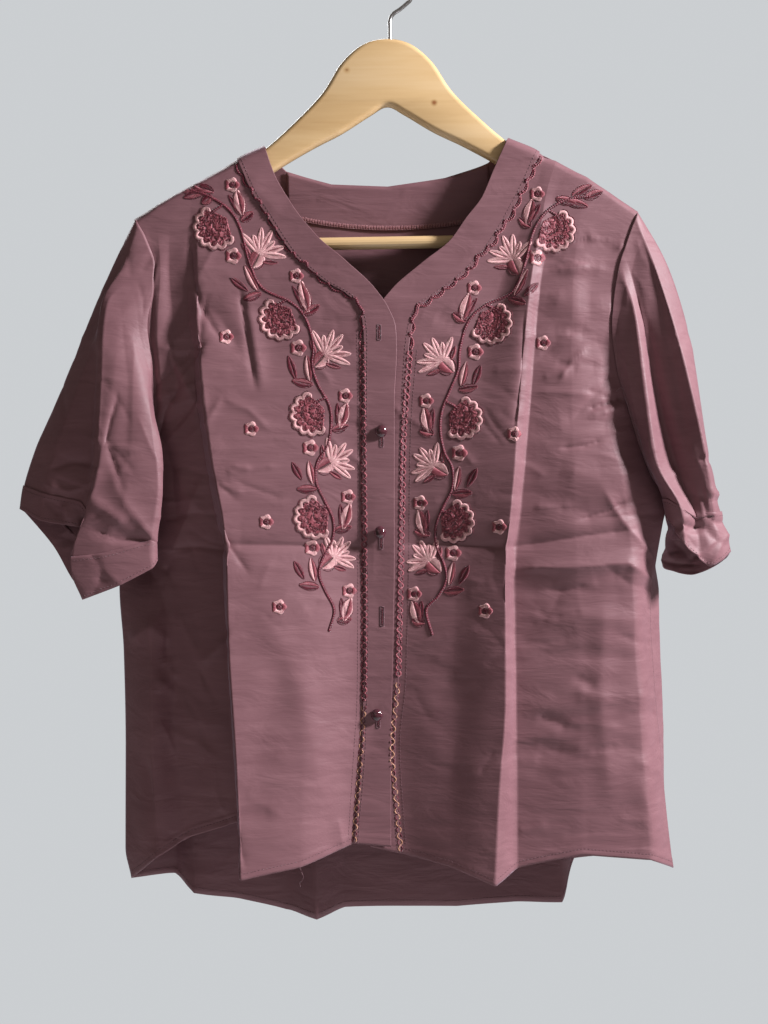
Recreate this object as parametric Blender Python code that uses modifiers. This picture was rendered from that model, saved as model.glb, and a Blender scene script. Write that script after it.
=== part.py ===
"""Short-sleeved V-neck top with a high-low hem, hanging open at the hem on a wooden hanger.

Metres, +Z up. The origin is the hanging point, under the top of the hook's bend.
+X is to the right as seen from the front, and the front of the garment faces -Y.
Right and left in the names are the wearer's.
"""
import math

import bmesh
import bpy
import numpy as np
from mathutils import Vector

MM = 0.001

# Cloth
WALL = 1.2
SEAM_GAP = 0.3
ON_TOP = WALL + SEAM_GAP
CUFF_GAP_RIGHT = 1.0
CUFF_GAP_LEFT = 0.5
ARMHOLE_CLEAR = 1.2
UNDERARM_CLEAR = 4.0

# The cloth's way over the hanger's arm, below each shoulder seam
ROLL_DROP = 6.0
ROLL_ROWS = (14.0, 7.0, 3.0, 0.0)
SEAM_DEPTH = (WALL + SEAM_GAP) / 2
SIDE_SEAM_DEPTH = 1.0
NECK_TURN = 0.12

# Heights of the rows that every body panel shares, from just above the hem to the yoke
LEVELS = (-755, -715, -675, -635, -600, -570, -545, -528, -505, -480, -455, -430, -400, -370, -335, -300)
YOKE_ROWS = 6
STEPS_BETWEEN_FOLDS = 2
STEPS_BETWEEN_STATIONS = 2

# Each fold below is one row: its name, then its points from the hem up to the shoulder,
# as (x across, y depth, z height) in mm.
SIDE_RIGHT = ((-240, 10, -838), (-246, 10, -810), (-246, 11, -719), (-248, 12, -627), (-252, 12, -567),
              (-249, 10, -506), (-244, 8, -467))
SIDE_LEFT = ((261, 8, -828), (255, 7, -779), (249, 5, -722), (242, 2, -652), (238, 0, -586),
             (242, -1, -553), (250, 1, -509), (255, 5, -487))

FRONT_RIGHT = (
    ("opening edge", ((0, -20, -801), (0, -20, -705), (2, -22, -614), (3, -24, -542), (3, -24, -401),
                      (5, -24, -353), (4, -23, -331), (-3, -22, -313), (-15, -21, -296), (-42, -18, -270),
                      (-67, -15, -248), (-90, -12, -219), (-107, -9, -189), (-116, -9, -163))),
    ("band seam", ((-34, -20, -798), (-27, -20, -713), (-24, -22, -584), (-26, -24, -470), (-25, -24, -344),
                   (-28, -22, -318), (-37, -20, -304), (-64, -18, -287), (-92, -15, -261), (-111, -12, -232),
                   (-128, -10, -205), (-141, -9, -175))),
    ("centre panel", ((-81, -40, -813), (-79, -38, -710), (-78, -37, -583), (-82, -34, -488), (-91, -29, -419),
                      (-104, -23, -348), (-117, -19, -307), (-133, -15, -261), (-145, -11, -219),
                      (-154, -9, -183))),
    ("knife fold edge", ((-132, -56, -821), (-136, -54, -727), (-144, -50, -611), (-148, -46, -527),
                         (-160, -39, -454), (-173, -28, -348), (-176, -22, -307), (-176, -15, -261),
                         (-171, -11, -228), (-168, -9, -191))),
    ("knife fold root", ((-139, -26, -778), (-142, -25, -722), (-149, -22, -614), (-155, -19, -528),
                         (-168, -17, -453), (-180, -17, -346), (-185, -15, -306), (-186, -12, -260),
                         (-183, -10, -228), (-182, -9, -198))),
    ("side valley", ((-185, -10, -796), (-196, -10, -715), (-198, -9, -615), (-199, -7, -529), (-197, -8, -460),
                     (-196, -12, -405), (-198, -13, -333), (-202, -11, -276), (-202, -10, -237),
                     (-200, -9, -208))),
    ("side crest", ((-212, -22, -811), (-216, -22, -713), (-218, -18, -615), (-220, -8, -566), (-223, 2, -529),
                    (-222, 1, -478), (-213, -6, -433), (-208, -14, -401), (-212, -16, -333), (-210, -13, -277),
                    (-213, -10, -241), (-214, -9, -216))),
    ("side seam", SIDE_RIGHT + ((-226, -2, -442), (-217, -10, -405), (-218, -13, -365), (-222, -14, -330),
                                (-217, -14, -297), (-215, -12, -276), (-224, -10, -250), (-236, -9, -230))),
)

FRONT_LEFT = (
    ("opening edge", ((-19, -16, -802), (-19, -16, -705), (-20, -18, -614), (-20, -20, -542), (-21, -20, -401),
                      (-21, -20, -352), (-18, -19, -330), (-11, -18, -312), (1, -17, -296), (27, -15, -273),
                      (54, -13, -251), (68, -12, -231), (83, -11, -211), (94, -9, -185), (107, -9, -156))),
    ("band seam", ((9, -16, -808), (4, -16, -713), (7, -18, -649), (10, -20, -542), (11, -20, -450),
                   (13, -20, -401), (16, -20, -352), (19, -19, -330), (26, -18, -312), (43, -17, -300),
                   (71, -15, -278), (92, -13, -254), (109, -11, -226), (124, -10, -197), (136, -9, -169))),
    ("centre panel", ((53, -32, -817), (55, -31, -711), (57, -31, -584), (64, -30, -488), (71, -26, -418),
                      (82, -21, -348), (94, -17, -306), (110, -14, -260), (128, -11, -214), (141, -9, -173))),
    ("front fold edge", ((92, -48, -831), (96, -47, -753), (102, -45, -665), (102, -43, -559), (108, -38, -488),
                         (115, -32, -398), (125, -24, -298), (135, -16, -243), (141, -12, -210),
                         (151, -9, -176))),
    ("front fold root", ((110, -32, -820), (110, -31, -757), (111, -31, -667), (110, -32, -559),
                         (117, -29, -488), (125, -24, -398), (135, -18, -297), (145, -13, -242),
                         (150, -11, -210), (162, -9, -182))),
    ("side panel", ((174, -26, -807), (174, -26, -712), (170, -27, -614), (168, -28, -551), (165, -27, -488),
                    (163, -22, -397), (164, -18, -306), (170, -13, -242), (180, -9, -191))),
    ("side turn", ((227, -10, -813), (219, -12, -714), (212, -14, -615), (210, -16, -551), (209, -17, -488),
                   (193, -18, -415), (184, -17, -365), (181, -16, -315), (188, -12, -251), (202, -9, -206))),
    ("side seam", SIDE_LEFT + ((239, -4, -467), (225, -9, -433), (212, -12, -391), (205, -13, -365),
                               (201, -14, -326), (207, -13, -279), (219, -11, -242), (227, -9, -223))),
)

BACK = (
    ("side seam right", SIDE_RIGHT + ((-236, 18, -436), (-229, 22, -394), (-227, 20, -328), (-228, 14, -272),
                                      (-233, 11, -246), (-236, 9, -230))),
    ("hollow 1", ((-204, 34, -840), (-207, 33, -723), (-210, 32, -620), (-212, 30, -525), (-212, 30, -431),
                  (-212, 27, -346), (-212, 16, -273), (-214, 9, -216))),
    ("crest 1", ((-184, 16, -854), (-186, 22, -721), (-189, 26, -619), (-191, 28, -525), (-193, 28, -431),
                 (-191, 25, -346), (-184, 16, -273), (-182, 9, -198))),
    ("hollow 2", ((-143, 34, -864), (-146, 34, -723), (-150, 34, -620), (-152, 33, -525), (-154, 31, -431),
                  (-155, 26, -346), (-152, 17, -273), (-141, 9, -175))),
    ("neck point right", ((-99, 36, -875), (-107, 35, -723), (-112, 34, -620), (-116, 33, -525),
                          (-120, 31, -431), (-121, 26, -346), (-120, 17, -273), (-116, 9, -163))),
    ("crest 2", ((-69, 14, -878), (-76, 24, -721), (-82, 30, -619), (-86, 32, -525), (-89, 30, -431),
                 (-93, 25, -346), (-96, 16, -273), (-97, 9, -183))),
    ("hollow 3", ((-43, 33, -872), (-46, 35, -723), (-48, 35, -620), (-50, 34, -525), (-52, 31, -431),
                  (-53, 25, -346), (-54, 16, -273), (-55, 9, -195))),
    ("centre back", ((9, 37, -872), (7, 37, -723), (5, 36, -620), (3, 34, -525), (1, 31, -431),
                     (0, 25, -346), (-1, 16, -273), (-3, 9, -197))),
    ("hollow 4", ((63, 37, -872), (60, 37, -723), (58, 36, -620), (56, 34, -525), (54, 31, -431),
                  (53, 25, -346), (51, 16, -273), (50, 9, -189))),
    ("crest 3", ((117, 34, -867), (113, 34, -723), (109, 34, -620), (105, 33, -525), (103, 31, -431),
                 (101, 26, -346), (98, 17, -273), (90, 9, -175))),
    ("neck point left", ((160, 18, -863), (155, 24, -721), (150, 28, -619), (146, 30, -525), (141, 30, -431),
                         (133, 26, -346), (122, 17, -273), (107, 9, -156))),
    ("hollow 5", ((174, 38, -827), (174, 37, -723), (172, 35, -620), (167, 33, -525), (162, 31, -431),
                  (155, 27, -346), (150, 17, -273), (151, 9, -176))),
    ("hollow 6", ((226, 34, -821), (222, 33, -723), (216, 31, -619), (212, 29, -544), (207, 30, -431),
                  (199, 27, -346), (191, 17, -273), (180, 9, -191))),
    ("side turn", ((257, 26, -829), (256, 24, -721), (252, 23, -619), (250, 20, -572), (242, 20, -525),
                   (241, 21, -487), (234, 24, -440), (219, 26, -384), (209, 22, -319), (208, 14, -264),
                   (208, 9, -210))),
    ("side seam left", SIDE_LEFT + ((243, 14, -452), (233, 20, -422), (220, 22, -375), (212, 20, -319),
                                    (215, 14, -274), (223, 11, -241), (227, 9, -223))),
)
NECK_FOLDS = ("crest 2", "hollow 3", "centre back", "hollow 4", "crest 3")

# Each fold of a sleeve, from the armhole down: four stations, the cuff's seam and the cuff's edge
SLEEVE_RIGHT = (
    ("outer fold", ((-236, 0, -230), (-262, -2, -288), (-298, -3, -376), (-326, -3, -441),
                    (-337, -2, -476), (-340, -2, -496))),
    ("outer front", ((-232, -10, -238), (-254, -13, -302), (-279, -14, -383), (-299, -15, -450),
                     (-308, -14, -483), (-310, -16, -507))),
    ("front hollow", ((-222, -11, -255), (-260, -21, -307), (-265, -25, -384), (-269, -27, -450),
                      (-278, -26, -491), (-281, -24, -512))),
    ("pressed ridge", ((-215, -12, -276), (-255, -24, -309), (-259, -33, -388), (-261, -38, -452),
                       (-268, -38, -502), (-268, -6, -503))),
    ("front panel", ((-217, -14, -297), (-242, -26, -324), (-249, -36, -394), (-259, -40, -461),
                     (-286, -36, -542), (-276, -31, -577))),
    ("front middle", ((-222, -14, -330), (-231, -26, -348), (-231, -37, -408), (-234, -40, -470),
                      (-258, -38, -538), (-242, -36, -564))),
    ("inner fold", ((-218, -13, -365), (-219, -24, -384), (-214, -33, -425), (-208, -36, -475),
                    (-215, -35, -526), (-214, -33, -549))),
    ("inner turn", ((-217, -10, -405), (-213, -20, -420), (-206, -27, -445), (-205, -31, -479),
                    (-211, -29, -529), (-211, -27, -542))),
    ("inner back", ((-226, -2, -442), (-220, -8, -451), (-215, -14, -468), (-214, -18, -492),
                    (-222, -16, -529), (-220, -14, -544))),
    ("underarm seam", ((-244, 8, -467), (-248, 5, -477), (-250, 1, -490), (-251, -2, -506),
                       (-252, -4, -535), (-252, -4, -559))),
    ("back inner", ((-236, 18, -436), (-248, 20, -444), (-257, 14, -464), (-264, 7, -492),
                    (-276, 2, -532), (-273, 0, -569))),
    ("back middle", ((-229, 22, -394), (-245, 24, -405), (-263, 20, -424), (-280, 14, -460),
                     (-299, 8, -517), (-291, 5, -565))),
    ("back panel", ((-227, 17, -300), (-249, 22, -347), (-277, 19, -385), (-301, 14, -432),
                    (-319, 9, -492), (-313, 9, -530))),
    ("back outer", ((-234, 11, -240), (-258, 13, -301), (-291, 10, -381), (-318, 7, -441),
                    (-334, 5, -478), (-339, 5, -498))),
)

SLEEVE_LEFT = (
    ("outer fold", ((227, 0, -223), (252, -3, -269), (274, -5, -341), (290, -6, -442),
                    (303, -4, -501), (311, -3, -535))),
    ("outer crest", ((223, -10, -231), (237, -13, -271), (259, -18, -347), (280, -22, -438),
                     (293, -14, -502), (301, -12, -542))),
    ("outer panel", ((219, -11, -242), (227, -14, -292), (245, -16, -365), (265, -18, -442),
                     (283, -20, -503), (289, -18, -548))),
    ("crease root", ((213, -12, -260), (224, -15, -306), (237, -14, -374), (255, -14, -447),
                     (276, -19, -506), (279, -22, -542))),
    ("crease crest", ((207, -13, -279), (220, -18, -312), (229, -24, -384), (237, -27, -452),
                      (261, -27, -495), (265, -27, -529))),
    ("front panel", ((201, -14, -326), (208, -18, -347), (218, -22, -397), (232, -22, -452),
                     (250, -22, -488), (255, -23, -513))),
    ("inner front", ((205, -13, -365), (211, -16, -383), (222, -17, -420), (235, -16, -456),
                     (248, -13, -488), (251, -13, -504))),
    ("inner turn", ((229, -7, -445), (241, -11, -455), (247, -8, -468), (253, -5, -482),
                    (257, -1, -496), (254, -2, -515))),
    ("underarm seam", ((255, 5, -487), (263, 5, -492), (264, 7, -500), (263, 9, -509),
                       (260, 10, -523), (253, 9, -549))),
    ("back inner", ((246, 12, -460), (254, 17, -467), (260, 19, -477), (264, 18, -491),
                    (268, 17, -525), (264, 15, -554))),
    ("back middle", ((233, 20, -422), (241, 24, -431), (255, 25, -450), (268, 23, -478),
                     (281, 18, -527), (280, 15, -557))),
    ("back panel", ((212, 18, -295), (241, 23, -347), (260, 23, -394), (280, 19, -445),
                    (295, 12, -517), (296, 9, -551))),
    ("back outer", ((223, 11, -233), (247, 15, -292), (271, 14, -352), (289, 9, -434),
                    (302, 4, -508), (309, 3, -541))),
)
CUFF_SEAM_STATION = 4

# The neck facing, inside the back panel: its lower edge at the sides and at the centre
FACING_EDGE_SIDE = -226.0
FACING_EDGE_CENTRE = -237.0
FACING_TOP_INSET = 1.0
FACING_ROWS = 4

# Buttons on the placket: (x across, z height) of each that shows
BUTTONS = ((-9, -426), (-10, -517), (-13, -682))
BUTTON_RADIUS = 5.3
BUTTON_DOME = 3.4
BUTTON_BASE = 0.8
BUTTON_SEGMENTS = 16
BUTTON_RINGS = 10

# Wooden hanger
WOOD_CENTRE = (-3.0, -150.0)
WOOD_TILT = math.radians(1.0)
WOOD_THICKNESS = 12.0
WOOD_ROUNDING = 5.0
WOOD_OUTLINE_STEPS = 2
ROUND_SEGMENTS = 16
SHARP_ANGLE = math.radians(50)
MERGE_DISTANCE = 0.01
# Half of its outline, from the top of the dome round the arm's end to the notch: (x, z) from its centre
WOOD_HALF = ((0, 86), (22, 81), (42, 64), (59, 38), (81, 15), (113, -13), (142, -29), (178, -50), (198, -64),
             (211, -79), (214, -96), (209, -109), (198, -113), (188, -107), (179, -92), (164, -76), (137, -57),
             (103, -33), (70, -14), (42, 0), (16, 16), (0, 24))
BAR_RADIUS = 5.8
BAR_HEIGHT = -101.0
BAR_REACH = 197.0
SOCKET_CLEARANCE = 0.3
HOOK_RADIUS = 1.8
HOOK_BEND = 20.0
# The wire from its foot to the start of the bend: (x, z)
HOOK_NECK = ((-1, -84), (-1, -66), (-1, -54), (-1, -46), (2, -40.5), (8.5, -36))
HOOK_START_ANGLE = -32
HOOK_END_ANGLE = 205
HOOK_ANGLE_STEP = 13


def clear_scene():
    for item in list(bpy.data.objects):
        bpy.data.objects.remove(item, do_unlink=True)


def new_collection(name, shown=True):
    made = bpy.data.collections.new(name)
    bpy.context.scene.collection.children.link(made)
    made.hide_render = not shown
    return made


def new_material(name, colour, roughness, metallic=0.0):
    material = bpy.data.materials.new(name)
    material.use_nodes = True
    shader = material.node_tree.nodes["Principled BSDF"]
    shader.inputs["Base Color"].default_value = (*colour, 1.0)
    shader.inputs["Roughness"].default_value = roughness
    shader.inputs["Metallic"].default_value = metallic
    return material


def smooth(at, places, values):
    """Values on a smooth curve through (places, values) that never swings past its points."""
    places = np.asarray(places, float)
    values = np.asarray(values, float)
    slopes = np.diff(values) / np.diff(places)
    tangents = np.empty_like(values)
    tangents[0] = slopes[0]
    tangents[-1] = slopes[-1]
    same_way = slopes[1:] * slopes[:-1] > 0
    tangents[1:-1] = np.where(same_way, np.minimum(abs(slopes[1:]), abs(slopes[:-1])) * np.sign(slopes[1:]), 0)
    tangents[1:-1] = (tangents[1:-1] + np.where(same_way, (slopes[1:] + slopes[:-1]) / 2, 0)) / 2
    at = np.clip(at, places[0], places[-1])
    i = np.clip(np.searchsorted(places, at, side="right") - 1, 0, len(places) - 2)
    width = places[i + 1] - places[i]
    t = (at - places[i]) / width
    return ((1 + 2 * t) * (1 - t) ** 2 * values[i] + t * (1 - t) ** 2 * width * tangents[i]
            + t * t * (3 - 2 * t) * values[i + 1] + t * t * (t - 1) * width * tangents[i + 1])


def fold_point(points, height):
    """The point of a body fold at a height."""
    across, depth, heights = np.array(points, float).T
    return np.array([smooth(height, heights, across), smooth(height, heights, depth), height])


def over_the_arm(point, drop, front):
    """A point so far below the shoulder seam, drawn in towards the seam's line on the hanger's arm."""
    share = math.sin(min(drop / ROLL_DROP, 1.0) * math.pi / 2)
    seam = -SEAM_DEPTH if front else SEAM_DEPTH
    return np.array([point[0], seam + (point[1] - seam) * share, point[2]])


def column_heights(hem, top):
    """Heights of a body panel's rows in one column, from its hem to its top edge."""
    first, last = LEVELS[0], LEVELS[-1]
    upper = top - ROLL_ROWS[0]
    yoke = [last + (upper - last) * k / YOKE_ROWS for k in range(1, YOKE_ROWS)]
    return [hem, (hem + first) / 2, *LEVELS, *yoke, *(top - drop for drop in ROLL_ROWS)]


def body_panel(folds, front):
    """A grid of points, rows from hem to shoulder and columns from the first fold to the last.

    A side seam's column is drawn back from the seam, to leave room for the other panel's edge.
    """
    columns = []
    for (name, here), (next_name, there) in zip(folds, folds[1:]):
        shares = [step / STEPS_BETWEEN_FOLDS for step in range(STEPS_BETWEEN_FOLDS)]
        if name not in NECK_FOLDS and next_name in NECK_FOLDS:
            shares.insert(1, NECK_TURN)
        if name in NECK_FOLDS and next_name not in NECK_FOLDS:
            shares.append(1 - NECK_TURN)
        for share in shares:
            open_neck = name in NECK_FOLDS or (share > 0 and next_name in NECK_FOLDS)
            columns.append((here, there, share, not open_neck))
    columns.append((folds[-2][1], folds[-1][1], 1.0, True))
    grid = []
    for here, there, share, on_arm in columns:
        hem = here[0][2] * (1 - share) + there[0][2] * share
        top = here[-1][2] * (1 - share) + there[-1][2] * share
        line = []
        for height in column_heights(hem, top):
            from_hem = (height - hem) / (top - hem)
            ends = []
            for points in (here, there):
                own = points[0][2] + (points[-1][2] - points[0][2]) * from_hem
                near_an_end = height < LEVELS[0] or height > LEVELS[-1]
                ends.append(fold_point(points, own if near_an_end else height))
            point = ends[0] * (1 - share) + ends[1] * share
            point[2] = height
            line.append(over_the_arm(point, top - height, front) if on_arm else point)
        grid.append(line)
    grid = np.array(grid)
    for column, (name, _) in ((0, folds[0]), (-1, folds[-1])):
        if name.startswith("side seam"):
            grid[column, :-len(ROLL_ROWS), 1] += -SIDE_SEAM_DEPTH if front else SIDE_SEAM_DEPTH
    return grid.transpose(1, 0, 2)


def unit(vectors):
    return vectors / np.maximum(np.linalg.norm(vectors, axis=-1, keepdims=True), 1e-9)


def moved_out(grid, distance):
    """The grid's points moved along its normals: towards the front where the distance is positive."""
    along = np.gradient(grid, axis=1)
    up = np.gradient(grid, axis=0)
    return grid + unit(np.cross(along, up)) * distance


def sleeve_grid(folds, first, last, gap_first=0.0, gap_last=0.0):
    """Rings of points from station first to station last, with each end drawn back by its gap."""
    steps = (last - first) * STEPS_BETWEEN_STATIONS
    stations = np.linspace(first, last, steps + 1)
    lines = []
    for _, points in folds:
        points = np.array(points, float)
        places = np.arange(len(points))
        lines.append(np.array([smooth(stations, places, points[:, k]) for k in range(3)]).T)
    rings = []
    for line, next_line in zip(lines, lines[1:] + lines[:1]):
        for step in range(STEPS_BETWEEN_FOLDS):
            share = step / STEPS_BETWEEN_FOLDS
            rings.append(line * (1 - share) + next_line * share)
    grid = np.array(rings).transpose(1, 0, 2)
    grid[0] += square_to(grid[0], grid[1] - grid[0]) * gap_first
    grid[-1] += square_to(grid[-1], grid[-2] - grid[-1]) * gap_last
    return grid


def square_to(ring, directions):
    """Unit directions with no part of them along the ring."""
    along = unit(np.roll(ring, -1, axis=0) - np.roll(ring, 1, axis=0))
    return unit(directions - along * (directions * along).sum(axis=1, keepdims=True))


def on_edge(edge, height):
    """The point of a panel's edge at a height."""
    heights = edge[:, 2]
    return np.array([np.interp(height, heights, edge[:, 0]), np.interp(height, heights, edge[:, 1]), height])


def lapped_over_armhole(grid, names, front_edge, back_edge):
    """The sleeve's first ring laid round the body's edges, just outside them."""
    underarm = names.index("underarm seam") * STEPS_BETWEEN_FOLDS
    outwards = np.sign(grid[0, underarm, 0])
    for column, point in enumerate(grid[0]):
        front, back = on_edge(front_edge, point[2]), on_edge(back_edge, point[2])
        if column == 0:
            grid[0, column] = (front + back) / 2 + (outwards * ARMHOLE_CLEAR, 0, ON_TOP)
        elif column == underarm:
            grid[0, column] = (front + back) / 2 + (outwards * UNDERARM_CLEAR, 0, 0)
        else:
            edge = front if column < underarm else back
            grid[0, column] = edge + (outwards * ARMHOLE_CLEAR, 0, 0)
    return grid


def cloth_object(name, grid, closed, material, collection):
    """A wall of cloth: the grid as an open surface with Solidify on it."""
    rows, columns = grid.shape[:2]
    mesh = bpy.data.meshes.new(name)
    form = bmesh.new()
    corners = [[form.verts.new(Vector(point) * MM) for point in row] for row in grid]
    for low, high in zip(corners, corners[1:]):
        for k in range(columns if closed else columns - 1):
            following = (k + 1) % columns
            form.faces.new((low[k], low[following], high[following], high[k]))
    form.to_mesh(mesh)
    form.free()
    mesh.materials.append(material)
    made = bpy.data.objects.new(name, mesh)
    collection.objects.link(made)
    wall = made.modifiers.new("Wall", "SOLIDIFY")
    wall.thickness = WALL * MM
    wall.offset = 0.0
    return made


def facing_grid():
    """The back's neck facing: points of the back panel below its neckline, moved to its inner side."""
    names = [name for name, _ in BACK]
    first, last = names.index(NECK_FOLDS[0]), names.index(NECK_FOLDS[-1])
    folds = BACK[first:last + 1]
    count = (len(folds) - 1) * STEPS_BETWEEN_FOLDS
    grid = []
    for k in range(count + 1):
        i = min(k // STEPS_BETWEEN_FOLDS, len(folds) - 2)
        share = k / STEPS_BETWEEN_FOLDS - i
        here, there = folds[i][1], folds[i + 1][1]
        top = here[-1][2] * (1 - share) + there[-1][2] * share - FACING_TOP_INSET
        bow = math.sin(math.pi * k / count)
        low = FACING_EDGE_SIDE + (FACING_EDGE_CENTRE - FACING_EDGE_SIDE) * bow
        heights = np.linspace(low, top, FACING_ROWS)
        grid.append([fold_point(here, z) * (1 - share) + fold_point(there, z) * share for z in heights])
    return moved_out(np.array(grid).transpose(1, 0, 2), ON_TOP)


def button_object(name, across, depth, height, material, collection):
    """A domed button, its flat back towards the cloth."""
    mesh = bpy.data.meshes.new(name)
    form = bmesh.new()
    bmesh.ops.create_uvsphere(form, u_segments=BUTTON_SEGMENTS, v_segments=BUTTON_RINGS,
                              radius=BUTTON_RADIUS * MM)
    for vert in form.verts:
        vert.co.z *= BUTTON_DOME / BUTTON_RADIUS if vert.co.z > 0 else BUTTON_BASE / BUTTON_RADIUS
    form.to_mesh(mesh)
    form.free()
    mesh.shade_smooth()
    mesh.materials.append(material)
    made = bpy.data.objects.new(name, mesh)
    made.location = Vector((across, depth, height)) * MM
    made.rotation_euler = (math.radians(90), 0, 0)
    collection.objects.link(made)
    return made


def mesh_from_curve(curve_object, name, collection):
    """The curve's evaluated form as a closed mesh object in the same place."""
    bpy.context.view_layer.update()
    evaluated = curve_object.evaluated_get(bpy.context.evaluated_depsgraph_get())
    mesh = bpy.data.meshes.new_from_object(evaluated)
    form = bmesh.new()
    form.from_mesh(mesh)
    bmesh.ops.remove_doubles(form, verts=form.verts, dist=MERGE_DISTANCE * MM)
    bmesh.ops.recalc_face_normals(form, faces=form.faces)
    form.to_mesh(mesh)
    form.free()
    made = bpy.data.objects.new(name, mesh)
    made.matrix_world = curve_object.matrix_world.copy()
    collection.objects.link(made)
    bpy.data.objects.remove(curve_object, do_unlink=True)
    return made


def rounded_outline(points, steps):
    """A closed smooth line through the points."""
    points = np.array(points, float)
    before, after, beyond = np.roll(points, 1, 0), np.roll(points, -1, 0), np.roll(points, -2, 0)
    line = []
    for k in range(steps):
        t = k / steps
        line.append(0.5 * (2 * points + (after - before) * t + (2 * before - 5 * points + 4 * after - beyond) * t * t
                           + (3 * points - before - 3 * after + beyond) * t ** 3))
    return np.array(line).transpose(1, 0, 2).reshape(-1, 2)


def cutter(name, radius, length, location, axis, frame, collection):
    """A hidden cylinder that cuts a socket."""
    mesh = bpy.data.meshes.new(name)
    form = bmesh.new()
    bmesh.ops.create_cone(form, cap_ends=True, segments=ROUND_SEGMENTS, radius1=radius * MM, radius2=radius * MM,
                          depth=length * MM)
    form.to_mesh(mesh)
    form.free()
    made = bpy.data.objects.new(name, mesh)
    made.location = Vector(location) * MM
    made.rotation_euler = (0, math.radians(90), 0) if axis == "X" else (0, 0, 0)
    made.parent = frame
    made.display_type = "WIRE"
    made.hide_render = True
    collection.objects.link(made)
    return made


def hanger_wood(frame, material, collection, cutters):
    """The arms and dome in one board, with sockets for the bar and the hook."""
    half = list(WOOD_HALF)
    whole = half + [(-x, z) for x, z in reversed(half[1:-1])]
    outline = rounded_outline(whole, WOOD_OUTLINE_STEPS)
    curve = bpy.data.curves.new("hanger outline", "CURVE")
    curve.dimensions = "2D"
    curve.fill_mode = "BOTH"
    curve.extrude = (WOOD_THICKNESS / 2 - WOOD_ROUNDING) * MM
    curve.bevel_depth = WOOD_ROUNDING * MM
    curve.bevel_resolution = 1
    curve.offset = -WOOD_ROUNDING * MM
    line = curve.splines.new("POLY")
    line.use_cyclic_u = True
    line.points.add(len(outline) - 1)
    for point, (x, z) in zip(line.points, outline):
        point.co = (x * MM, z * MM, 0, 1)
    board = bpy.data.objects.new("hanger outline", curve)
    board.rotation_euler = (math.radians(90), 0, 0)
    board.parent = frame
    collection.objects.link(board)
    wood = mesh_from_curve(board, "hanger_wood", collection)
    wood.data.materials.append(material)
    wood.data.shade_smooth()
    wood.data.set_sharp_from_angle(angle=SHARP_ANGLE)
    socket = BAR_RADIUS + SOCKET_CLEARANCE
    depth = BAR_REACH + SOCKET_CLEARANCE
    cuts = [cutter("bar socket", socket, 2 * depth, (0, 0, BAR_HEIGHT), "X", frame, cutters)]
    across, foot = HOOK_NECK[0]
    foot -= SOCKET_CLEARANCE
    top = HOOK_NECK[3][1]
    cuts.append(cutter("hook socket", HOOK_RADIUS + SOCKET_CLEARANCE, top - foot,
                       (across, 0, (top + foot) / 2), "Z", None, cutters))
    for cut in cuts:
        modifier = wood.modifiers.new(cut.name, "BOOLEAN")
        modifier.operation = "DIFFERENCE"
        modifier.solver = "EXACT"
        modifier.object = cut
    return wood


def hanger_bar(frame, material, collection):
    """The round trouser bar between the arms."""
    mesh = bpy.data.meshes.new("hanger_bar")
    form = bmesh.new()
    bmesh.ops.create_cone(form, cap_ends=True, segments=ROUND_SEGMENTS, radius1=BAR_RADIUS * MM, radius2=BAR_RADIUS * MM,
                          depth=2 * BAR_REACH * MM)
    form.to_mesh(mesh)
    form.free()
    mesh.shade_smooth()
    mesh.set_sharp_from_angle(angle=SHARP_ANGLE)
    mesh.materials.append(material)
    made = bpy.data.objects.new("hanger_bar", mesh)
    made.parent = frame
    made.location = (0, 0, BAR_HEIGHT * MM)
    made.rotation_euler = (0, math.radians(90), 0)
    collection.objects.link(made)
    return made


def hanger_hook(material, collection):
    """The wire hook: a straight shank and a round bend whose underside at the top is the origin."""
    centre = HOOK_RADIUS - HOOK_BEND
    route = list(HOOK_NECK)
    for angle in range(HOOK_START_ANGLE, HOOK_END_ANGLE, HOOK_ANGLE_STEP):
        turn = math.radians(angle)
        route.append((HOOK_BEND * math.cos(turn), centre + HOOK_BEND * math.sin(turn)))
    curve = bpy.data.curves.new("hanger_hook", "CURVE")
    curve.dimensions = "3D"
    curve.bevel_depth = HOOK_RADIUS * MM
    curve.bevel_resolution = 2
    curve.use_fill_caps = True
    line = curve.splines.new("POLY")
    line.points.add(len(route) - 1)
    for point, (x, z) in zip(line.points, route):
        point.co = (x * MM, 0, z * MM, 1)
    curve.materials.append(material)
    made = bpy.data.objects.new("hanger_hook", curve)
    collection.objects.link(made)
    return made


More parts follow.
